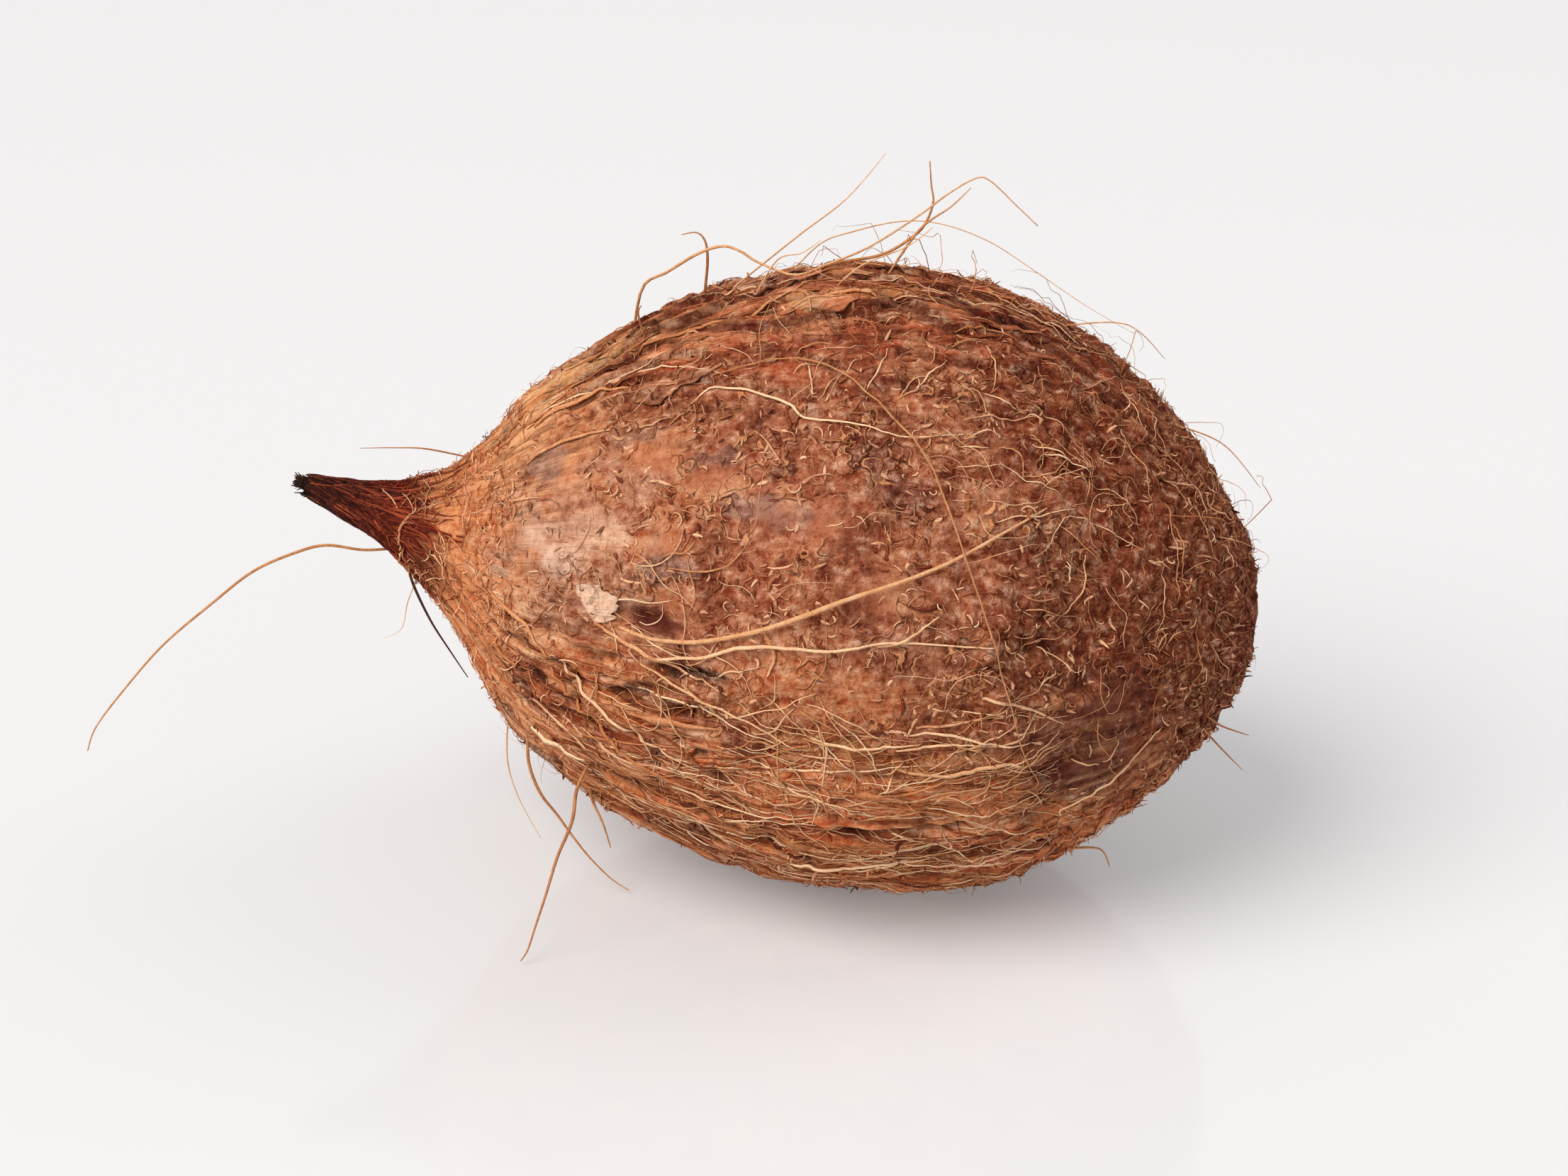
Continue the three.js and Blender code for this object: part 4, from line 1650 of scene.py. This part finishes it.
BOLD_STRANDS = (
    Strand(((56, 171), (64, 172.5), (78, 168), (92, 161), (105, 155), (116, 147), (123, 141)),
           0.86, 0.5, 0.6, 1.0),
    Strand(((62, 176.5), (70, 174), (78, 170.5), (90, 170), (100, 168), (116, 168)),
           0.72, 0.88, 0.5, 0.6),
    Strand(((97, 169), (101, 167.5), (106, 163.5)), 0.5, 0.75, 0.5, 0.2),
    Strand(((68, 117), (76, 115), (86, 117), (95, 126), (103, 136), (109, 151), (115, 168),
            (121, 189), (124, 198), (116, 198)), 0.36, 0.55, 0.8, 0.7),
    Strand(((66, 121), (70, 120), (76, 122), (81, 125), (84, 128.5), (92, 130), (99, 132),
            (109, 130)), 0.5, 0.85, 0.4, 0.3),
    Strand(((87, 187), (95, 188), (105, 187)), 0.5, 0.85),
    Strand(((102, 185), (108, 184), (115, 186), (124, 188)), 0.5, 0.85),
    Strand(((101, 188), (109, 187), (119, 188)), 0.5, 0.8),
    Strand(((101, 192), (109, 193), (117, 191), (121, 192)), 0.7, 0.6),
    Strand(((60, 178), (67, 181.5), (76, 184.5), (86, 190)), 0.55, 0.7),
    Strand(((78, 222), (87, 220), (97, 218.5), (107, 218)), 0.6, 0.85),
    Strand(((102, 218), (112, 220), (120, 219), (127, 216)), 0.45, 0.7),
    Strand(((144, 194), (139, 201), (133, 205), (128, 207), (131, 212)), 0.45, 0.75),
    Strand(((20, 142), (17.5, 172), (18, 242)), 0.5, 0.35, 0.3, 0.1),
    Strand(((18, 200), (17.6, 236), (19, 262)), 0.35, 0.75, 0.3, 0.1),
)


@dataclass(frozen=True)
class Family:
    """Thin strands of one region: how many, where, how long in mm, and their heading.

    The heading and its spread are in radians; 0 runs along the nut, and a positive one
    turns to larger angles.
    """

    count: int
    distances: Pair
    angles: Pair
    lengths: Pair
    heading: float
    spread: float


FAMILIES = (
    Family(14, (57, 90), (108, 134), (4, 10), 0.1, 0.7),
    Family(20, (92, 124), (106, 132), (4, 11), 0.2, 0.7),
    Family(12, (108, 132), (126, 152), (6, 18), 0.3, 0.4),
    Family(7, (126, 144), (88, 150), (8, 20), 1.2, 0.5),
    Family(6, (140, 153), (105, 170), (8, 16), 1.1, 0.6),
    Family(26, (50, 68), (153, 190), (6, 20), 0.55, 0.35),
    Family(24, (66, 92), (176, 196), (6, 18), 0.25, 0.45),
    Family(34, (84, 122), (184, 208), (5, 14), 0.1, 0.6),
    Family(16, (60, 112), (200, 222), (6, 16), 0.2, 0.5),
    Family(6, (124, 138), (188, 214), (4, 10), 0.3, 0.6),
)

THICK_ROUTES = (
    ((56, 101), (62, 101), (68, 100), (73, 99), (77, 97), (81, 93), (85, 88)),
    ((81, 94), (86, 96), (94, 97), (102, 97)), ((113, 144), (114, 143), (114, 142)),
    ((115, 143), (116, 142)), ((114, 145), (114, 147)), ((110, 141), (110, 144)),
    ((40, 112), (47, 110), (55, 112)), ((39, 125), (46, 123), (53, 125)),
    ((34, 171), (38, 174), (42, 178), (45, 184)), ((33, 188), (38, 190), (43, 195)),
    ((52, 171), (58, 174), (66, 178), (74, 181)), ((46, 184), (52, 190), (60, 196), (70, 200)),
    ((44, 186), (49, 193), (56, 200), (66, 205), (78, 208)), ((79, 168), (81, 172), (80, 176)),
    ((48, 40), (58, 36), (70, 38), (80, 30)), ((66, 8), (78, 12), (92, 8), (104, 12)),
    ((60, 300), (72, 304), (88, 302), (104, 306)), ((96, 52), (108, 46), (120, 50)),
    ((70, 340), (84, 336), (100, 342)), ((110, 350), (122, 344), (134, 350)),
)


@dataclass(frozen=True)
class Stray:
    """A loose fibre that stands off the skin: root place, route in mm and thickness."""

    node: str
    root: Pair
    route: Sequence[Point]
    thick: float
    tone: float
    coat: Coat = Coat.STRAW


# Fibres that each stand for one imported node.
STRAYS = (
    Stray("loose_fibre_tuft_long", (15.5, 246), (
        (-83, -4, 52.7), (-89, -5, 53.6), (-94, -6, 52.4), (-101, -7, 49), (-108, -8, 43),
        (-116, -9, 35.5), (-123, -9, 26.5), (-127.5, -10, 20), (-129, -10, 15.5)),
        0.62, 0.45),
    Stray("loose_fibre_neck_lower", (18, 250), (
        (-74, -5, 46.5), (-71, -7, 41.5), (-67.5, -8, 36.5), (-64.5, -9, 32.5)),
        0.55, 0.5, Coat.DARK),
    Stray("loose_fibre_neck_upper", (28, 92), (
        (-73, 0, 69.9), (-78, 0, 69.8), (-84, 0, 69.4)), 0.36, 0.3),
    Stray("loose_fibre_crest_long", (54, 76), (
        (-38, 7, 98), (-34, 5, 101.4), (-29, 4, 105.2), (-25, 3, 107), (-22, 2, 106.6),
        (-19, 1, 105.2), (-13, -1, 104), (-8, -1, 106), (-1, -1, 109.5), (7, -1, 115.5),
        (11, -1, 119), (15.5, -1, 122), (18, -1, 121.5), (22, -1, 118), (26, -1, 114.5)),
        0.56, 0.62),
    Stray("loose_fibre_crest_bent", (82, 85), (
        (-7, 4, 104.6), (1, 4, 106.6), (6, 4, 110), (8, 4, 112.5), (9, 4, 116),
        (8.5, 4, 119), (8, 4, 123)), 0.6, 0.4),
    Stray("loose_fibre_crest_straight", (70, 80), (
        (-13, 10, 107), (-6, 12, 112.5), (-2, 13, 117), (1, 14, 121)), 0.34, 0.75),
    Stray("loose_fibre_crest_arched", (80, 70), (
        (-9, 18, 103.5), (-4, 19, 105.5), (4, 20, 107.5), (11, 20, 107.5), (19, 20, 105),
        (26, 20, 101), (36, 19, 95), (45, 18, 90.5)), 0.3, 0.8),
    Stray("loose_fibre_crest_hook", (66, 79), (
        (-27.5, 8, 102.5), (-28, 8, 106), (-29.5, 8, 107.5), (-32, 8, 107)), 0.5, 0.35),
    Stray("loose_fibre_foot_long", (51.5, 213), (
        (-44, -35, 25.5), (-44.5, -38, 21), (-46.5, -41, 16), (-48, -43.5, 10.5),
        (-49.5, -46, 5.5), (-50.5, -48, 2.3), (-51.5, -49, 0.8)), 0.6, 0.3),
    Stray("loose_fibre_foot_short", (40, 229), (
        (-53, -20.5, 22.5), (-51, -21, 17.5), (-48, -21, 13.5), (-45, -21.5, 9.5),
        (-42, -22, 6), (-38.5, -22, 2.5), (-35.5, -22.5, 0.8)), 0.6, 0.4),
)

# Shorter fibres that stand off the coat.
WISPS = (
    Stray("", (96, 88), ((7, 3, 111.5), (12, 4, 115.5), (15, 5, 118.5)), 0.45, 0.5),
    Stray("", (88, 92), ((-2, -3, 107), (5, -3, 110.5), (9, -3, 114)), 0.35, 0.7),
    Stray("", (51, 216), ((-42, -27, 20), (-40, -28, 16), (-38.5, -29, 12)), 0.6, 0.35),
    Stray("", (153, 205), ((62, -17, 34.5), (66.5, -18, 33.5)), 0.5, 0.3),
    Stray("", (152, 208), ((62, -18, 31), (66, -19, 27.5)), 0.4, 0.3),
    Stray("", (131, 235), ((43, -22, 13), (45, -22.5, 10)), 0.5, 0.5),
    Stray("", (126, 82), ((42, 2, 97.5), (49, 3, 91.5)), 0.3, 0.6),
    Stray("", (146, 84), ((60, 3, 77), (67, 3, 69.5)), 0.3, 0.5),
    Stray("", (36, 232), ((-57, -16, 21), (-55, -16, 14), (-51, -17, 7)), 0.3, 0.7),
    Stray("", (20, 262), ((-76, 2, 41), (-77, 2, 36), (-80, 2, 34)), 0.22, 0.8),
    Stray("", (57, 96), ((-38, -6, 97.5), (-37.5, -7, 99.5)), 0.4, 0.35),
    Stray("", (74, 90), ((-16, 0, 106), (-12, 0, 107.5), (-9, 1, 109.5)), 0.3, 0.7),
)


@dataclass(frozen=True)
class Sheet:
    """A scrap of coir sheet between a rooted edge and a free edge, lifted there in mm."""

    rooted: Sequence[Pair]
    free: Sequence[Pair]
    lift: float
    colour: str = "d9a27a"
    share: float = 0.15


SHEETS = (
    Sheet(((48.5, 162.5), (49.5, 166.5), (52, 171)), ((52.5, 161), (56, 165), (57.5, 169.5)), 0.8,
          "edc9ae", 0.85),
    Sheet(((51, 159), (55, 160), (61, 161.5)), ((53, 161.5), (58, 163.5), (63, 165)), 0.6),
    Sheet(((52, 173), (58, 175), (66, 175)), ((57, 170.3), (62, 171.6), (68, 172)), 0.5),
    Sheet(((62, 180), (70, 180.5), (77, 180)), ((63, 178.3), (70, 178), (76, 178)), 0.6),
    Sheet(((32, 224), (38, 226), (44, 228)), ((33, 232), (39, 235), (45, 234)), 0.9, "bf957a", 0.5),
    Sheet(((56, 107), (64, 106), (74, 104)), ((57, 104), (65, 102.5), (74, 101)), 0.7),
    Sheet(((56, 118), (62, 116), (70, 113)), ((57, 121), (63, 119.4), (71, 116.5)), 0.6),
    Sheet(((88, 204), (100, 203), (112, 203)), ((88, 207.6), (100, 206.8), (112, 205.8)), 0.7),
    Sheet(((66, 36), (72, 34), (80, 34)), ((67, 30), (74, 29), (80, 30)), 0.8),
    Sheet(((98, 24), (106, 20), (114, 22)), ((99, 16), (107, 14), (114, 17)), 0.8),
)


@dataclass
class LaidByHand(Layer):
    """The strands, scraps and stray fibres that give this nut its own look."""

    steps: int = 40
    stray_steps: int = 56

    def build(self) -> None:
        """Makes the lying strands, the torn scraps, the stray fibres and the wisps."""
        thick = tuple(Strand(route, 0.85, 0.5, 0.2, 0.2) for route in THICK_ROUTES)
        self.lay("main_strands", BOLD_STRANDS, 401, 0.75, Coat.STRAW)
        self.lay_families()
        self.lay("thick_strands", thick, 403, 0.6, Coat.GOLDEN)
        for number, sheet in enumerate(SHEETS, 1):
            self.place_sheet(f"torn_flake_{number}", sheet, 404 + number)
        for stray in STRAYS:
            self.coir.place(stray.node + "_coir", self.stray(stray), stray.coat, stray.node)
        wisps = [self.stray(wisp) for wisp in WISPS]
        names = ("paths", "wide", "thick", "upward", "tone", "ground")
        joined = [np.concatenate([getattr(wisp, name) for wisp in wisps]) for name in names]
        self.coir.place("loose_wisps", Fibres(*joined, sides=6), Coat.STRAW)

    def lay_families(self) -> None:
        """Thin pale strands of every family, winding gently, as one batch."""
        rng = np.random.default_rng(402)
        steps = 20
        rows: List[Course] = []
        for family in FAMILIES:
            count = family.count
            arc, angle = self.coir.scatter(rng, count, family.distances, family.angles)
            heading = rng.normal(family.heading, family.spread, count)[:, None]
            bend = rng.normal(0.0, 0.7, count)[:, None] * np.linspace(0.0, 1.0, steps)
            heading = heading + bend + wander(rng, count, steps, 0.7)
            length = rng.uniform(*family.lengths, count)
            rows.append(self.coir.walk(arc, angle, heading, length))
        course = tuple(np.concatenate(column) for column in zip(*rows))
        count = len(course[0])
        hump = np.sin(math.pi * np.linspace(0.0, 1.0, steps))
        lift = 0.2 * hump**0.35 + 0.3 * hump**2 + 0.25 * np.abs(wander(rng, count, steps, 0.3))
        size = rng.uniform(0.1, 0.18, count)[:, None] * taper(steps, 0.7, 0.35, 0.4)
        self.cover("thin_strands", Coat.STRAW, rng, course, lift, size, size * 0.8, (0.62, 0.16), 4)

    def lay(
        self, name: str, strands: Sequence[Strand], seed: int, flat: float, coat: Coat
    ) -> None:
        """Lays strands over the skin on smooth curves through their routes.

        Args:
            name: Name of the piece.
            strands: The strands.
            seed: Starts the random source.
            flat: Thickness over width.
            coat: Their finish.
        """
        rng = np.random.default_rng(seed)
        part = np.linspace(0.0, 1.0, self.steps)
        rows: List[List[np.ndarray]] = []
        for strand in strands:
            curve = through_points(np.array(strand.route, float), self.steps)
            arcs = self.husk.arc_at(curve[:, 0]) + wander(rng, 1, self.steps, 0.25)[0]
            angles = np.radians(curve[:, 1]) + wander(rng, 1, self.steps, 0.006)[0]
            ends = np.sin(math.pi * part) ** 0.35
            lift = strand.lift * ends + strand.arch * np.sin(math.pi * part) ** 2
            lift = lift + 0.25 * np.abs(wander(rng, 1, self.steps, 0.3)[0])
            knots = 1.0 + wander(rng, 1, self.steps, 0.16)[0]
            size = strand.thick / 2.0 * taper(self.steps, 0.7, 0.35, 0.4) * knots
            rows.append([arcs, angles, lift, size])
        arcs, angles, lift, size = (np.stack(column) for column in zip(*rows))
        tone = np.array([strand.tone for strand in strands]) + rng.normal(0.0, 0.12, len(strands))
        fibres = self.coir.laid(arcs, angles, lift, size, size * flat, tone, sides=6)
        self.coir.place(name, fibres, coat)

    def place_sheet(self, name: str, sheet: Sheet, seed: int) -> None:
        """Builds one scrap as a thin closed sheet with a torn free edge.

        At u across and v along it, the place is between the two edges by a share u, which
        a noise scales, and the lift is lift*u^1.6.

        Args:
            name: Name of the piece.
            sheet: The scrap.
            seed: Picks the noise.
        """
        husk = self.husk
        long, wide = 44, 12
        v, u = np.meshgrid(np.linspace(0.0, 1.0, long), np.linspace(0.0, 1.0, wide), indexing="ij")
        edges = [through_points(np.array(edge, float), long) for edge in (sheet.rooted, sheet.free)]
        place = np.stack([v * 5.0, u * 0.5, v * 0.0], axis=-1)
        torn = 0.86 + 0.3 * layered_noise(place, seed, 3, 0.55)
        share = (u * np.clip(torn, 0.2, 1.3) * np.sin(math.pi * v) ** 0.3)[..., None]
        across = edges[0][:, None] * (1.0 - share) + edges[1][:, None] * share
        arcs, angles = husk.arc_at(across[..., 0]), np.radians(across[..., 1])
        ripple = 0.16 * layered_noise(place * 0.5, seed + 50, 2)
        lift = sheet.lift * u**1.6 * np.sin(math.pi * v) ** 0.5 + ripple * u - 0.1 * (1.0 - u)
        top = husk.surface(arcs, angles, lift + 0.12)
        under = husk.surface(arcs, angles, lift - 0.1)
        vertices = np.concatenate([top.reshape(-1, 3), under.reshape(-1, 3)])
        number = np.arange(long * wide).reshape(long, wide)
        cells = np.stack([number[:-1, :-1], number[1:, :-1], number[1:, 1:], number[:-1, 1:]], -1)
        rim = np.concatenate([number[0, :-1], number[:-1, -1], number[-1, :0:-1], number[:0:-1, 0]])
        after = np.roll(rim, -1)
        below = long * wide
        walls = np.stack([rim, after, after + below, rim + below], -1)
        faces = [cells.reshape(-1, 4), cells.reshape(-1, 4)[:, ::-1] + below, walls]
        if self.faces_in(top, husk.normal(arcs, angles)):
            faces = [face[:, ::-1] for face in faces]
        quads = np.concatenate(faces)
        flat = np.tile(np.stack([v * 0.48, u], axis=-1).reshape(-1, 2), (2, 1))
        flat[below:, 0] += 0.5
        ground = mixed(husk.colour(arcs, angles), linear(sheet.colour), 0.0 * u + sheet.share)
        height = np.maximum(husk.relief_at(arcs, angles), -0.4)
        values = {
            "grain": np.tile(husk.grain(angles, arcs, 1.0, 100.0).reshape(-1, 3), (2, 1)),
            "ground": np.tile(ground.reshape(-1, 3), (2, 1)),
            "coat": np.tile(husk.coat_shares(arcs, angles).reshape(-1, 3), (2, 1)),
            "height": np.tile(height.ravel(), 2),
        }
        caps = np.zeros((0, 3), int)
        piece = mesh_object(name, vertices, quads, caps, flat[quads.ravel()], values)
        piece.data.materials.append(self.coir.skin)
        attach(piece, "root")
        LOG.info("%s: %d faces", name, len(quads))

    @staticmethod
    def faces_in(top: np.ndarray, normal: np.ndarray) -> bool:
        """Whether a grid's own turning sense points into the nut."""
        leg_v, leg_u = top[1:, :-1] - top[:-1, :-1], top[:-1, 1:] - top[:-1, :-1]
        return bool(np.sum(np.cross(leg_v, leg_u) * normal[:-1, :-1]) < 0.0)

    def stray(self, stray: Stray) -> Fibres:
        """One fibre through its points, from a root sunk in the skin.

        Args:
            stray: The fibre.

        Returns:
            A batch of one.
        """
        arc = self.husk.arc_at(np.array([stray.root[0]]))
        angle = np.array([math.radians(stray.root[1])])
        root = self.husk.surface(arc, angle, -0.3) / MM
        curve = through_points(np.vstack([root, np.array(stray.route, float)]), self.stray_steps)
        size = stray.thick / 2.0 * taper(self.stray_steps, 0.9, 0.35, 0.25) * MM
        upward = np.broadcast_to(np.array([0.1, 1.0, 0.2]), curve.shape)
        ground = self.husk.colour(arc, angle)
        return Fibres(
            curve[None] * MM, size[None], size[None] * 0.8, upward[None],
            np.array([stray.tone]), ground, sides=6,
        )


# ---------------------------------------------------------------------------
# Studio
# ---------------------------------------------------------------------------


@dataclass
class Studio:
    """A plain pale surface, soft light from the upper left, and the camera.

    The camera looks at a place that is off the nut's centre by aim, in mm. Its elevation
    and roll are in degrees, its distance in metres, its lens and sensor in mm.
    """

    centre: Vector
    elevation: float = 23.0
    roll: float = 3.0
    distance: float = 0.627
    aim: Point = (0.8, 0.0, -3.8)
    lens: float = 85.0
    sensor: float = 36.0

    def build(self) -> None:
        """Makes the surface, the lights and the camera."""
        self.build_surface()
        self.build_lights()
        self.build_camera()

    def build_surface(self) -> None:
        """A wide glossy white plane, lit a little from within like a light table."""
        half = 4.0
        corners = [(-half, -half, 0.0), (half, -half, 0.0), (half, half, 0.0), (-half, half, 0.0)]
        mesh = bpy.data.meshes.new("surface")
        mesh.from_pydata(corners, [], [(0, 1, 2, 3)])
        surface = bpy.data.objects.new("surface", mesh)
        bpy.context.scene.collection.objects.link(surface)
        g = Graph("glossy_white", roughness=0.12, specular=0.5)
        g.shader.inputs["Base Color"].default_value = (0.575, 0.568, 0.572, 1.0)
        g.shader.inputs["Emission Color"].default_value = (1.0, 0.99, 1.0, 1.0)
        g.shader.inputs["Emission Strength"].default_value = 0.19
        mesh.materials.append(g.material)

    def build_lights(self) -> None:
        """A soft key from the upper left, a weak light from behind, and an even pale sky."""
        scene = bpy.context.scene
        self.sun("key", (-0.58, -0.52, 0.76), 3.25, 44.0, (1.0, 0.98, 0.95))
        self.sun("behind", (0.85, 0.45, 0.9), 0.5, 34.0, (1.0, 1.0, 1.0))
        world = bpy.data.worlds.new("pale_sky")
        world.use_nodes = True
        sky = world.node_tree.nodes["Background"]
        sky.inputs["Color"].default_value = (1.0, 1.0, 1.0, 1.0)
        sky.inputs["Strength"].default_value = 0.5
        scene.world = world
        scene.view_settings.view_transform = "Standard"

    def sun(self, name: str, source: Point, strength: float, spread: float, colour: Point) -> None:
        """Adds an even light from one side.

        Args:
            name: Name of the light.
            source: Direction that it comes from.
            strength: Strength in watts per square metre.
            spread: Width of its disc in degrees; wider is softer.
            colour: Red, green and blue.
        """
        data = bpy.data.lights.new(name, "SUN")
        data.energy = strength
        data.angle = math.radians(spread)
        data.color = colour
        lamp = bpy.data.objects.new(name, data)
        lamp.location = self.centre + Vector(source)
        lamp.rotation_euler = (-Vector(source)).to_track_quat("-Z", "Y").to_euler()
        bpy.context.scene.collection.objects.link(lamp)

    def build_camera(self) -> None:
        """Looks along +Y and down by the elevation, turned slightly about its own axis."""
        pitch, roll = math.radians(self.elevation), math.radians(self.roll)
        target = self.centre + Vector(self.aim) * MM
        back = Vector((0.0, -math.cos(pitch), math.sin(pitch)))
        level_up = Vector((0.0, math.sin(pitch), math.cos(pitch)))
        level_right = Vector((1.0, 0.0, 0.0))
        right = math.cos(roll) * level_right + math.sin(roll) * level_up
        up = math.cos(roll) * level_up - math.sin(roll) * level_right
        data = bpy.data.cameras.new("camera")
        data.lens = self.lens
        data.sensor_width = self.sensor
        data.clip_start = 0.01
        camera = bpy.data.objects.new("camera", data)
        turn = Matrix((right, up, back)).transposed().to_4x4()
        camera.matrix_world = Matrix.Translation(target + self.distance * back) @ turn
        bpy.context.scene.collection.objects.link(camera)
        bpy.context.scene.camera = camera


# ---------------------------------------------------------------------------
# The whole coconut
# ---------------------------------------------------------------------------


def main() -> None:
    """Builds the skin, its coats of coir, the laid strands and the studio."""
    logging.basicConfig(level=logging.INFO, format="%(name)s: %(message)s")
    low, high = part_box("nut_with_tuft")
    Studio((low + high) / 2.0).build()
    husk = Husk(low, high)
    skin = husk.build("coconut_skin")
    finish = SkinFinish().build()
    skin.data.materials.append(finish)
    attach(skin, "root")
    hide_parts("nut_with_tuft")
    LOG.info("coconut_skin: %d faces", len(skin.data.polygons))
    coir = Coir(husk, finish)
    ShortCoat(coir).build()
    LongCoat(coir).build()
    Tuft(coir).build()
    LaidByHand(coir).build()


if __name__ == "__main__":
    main()
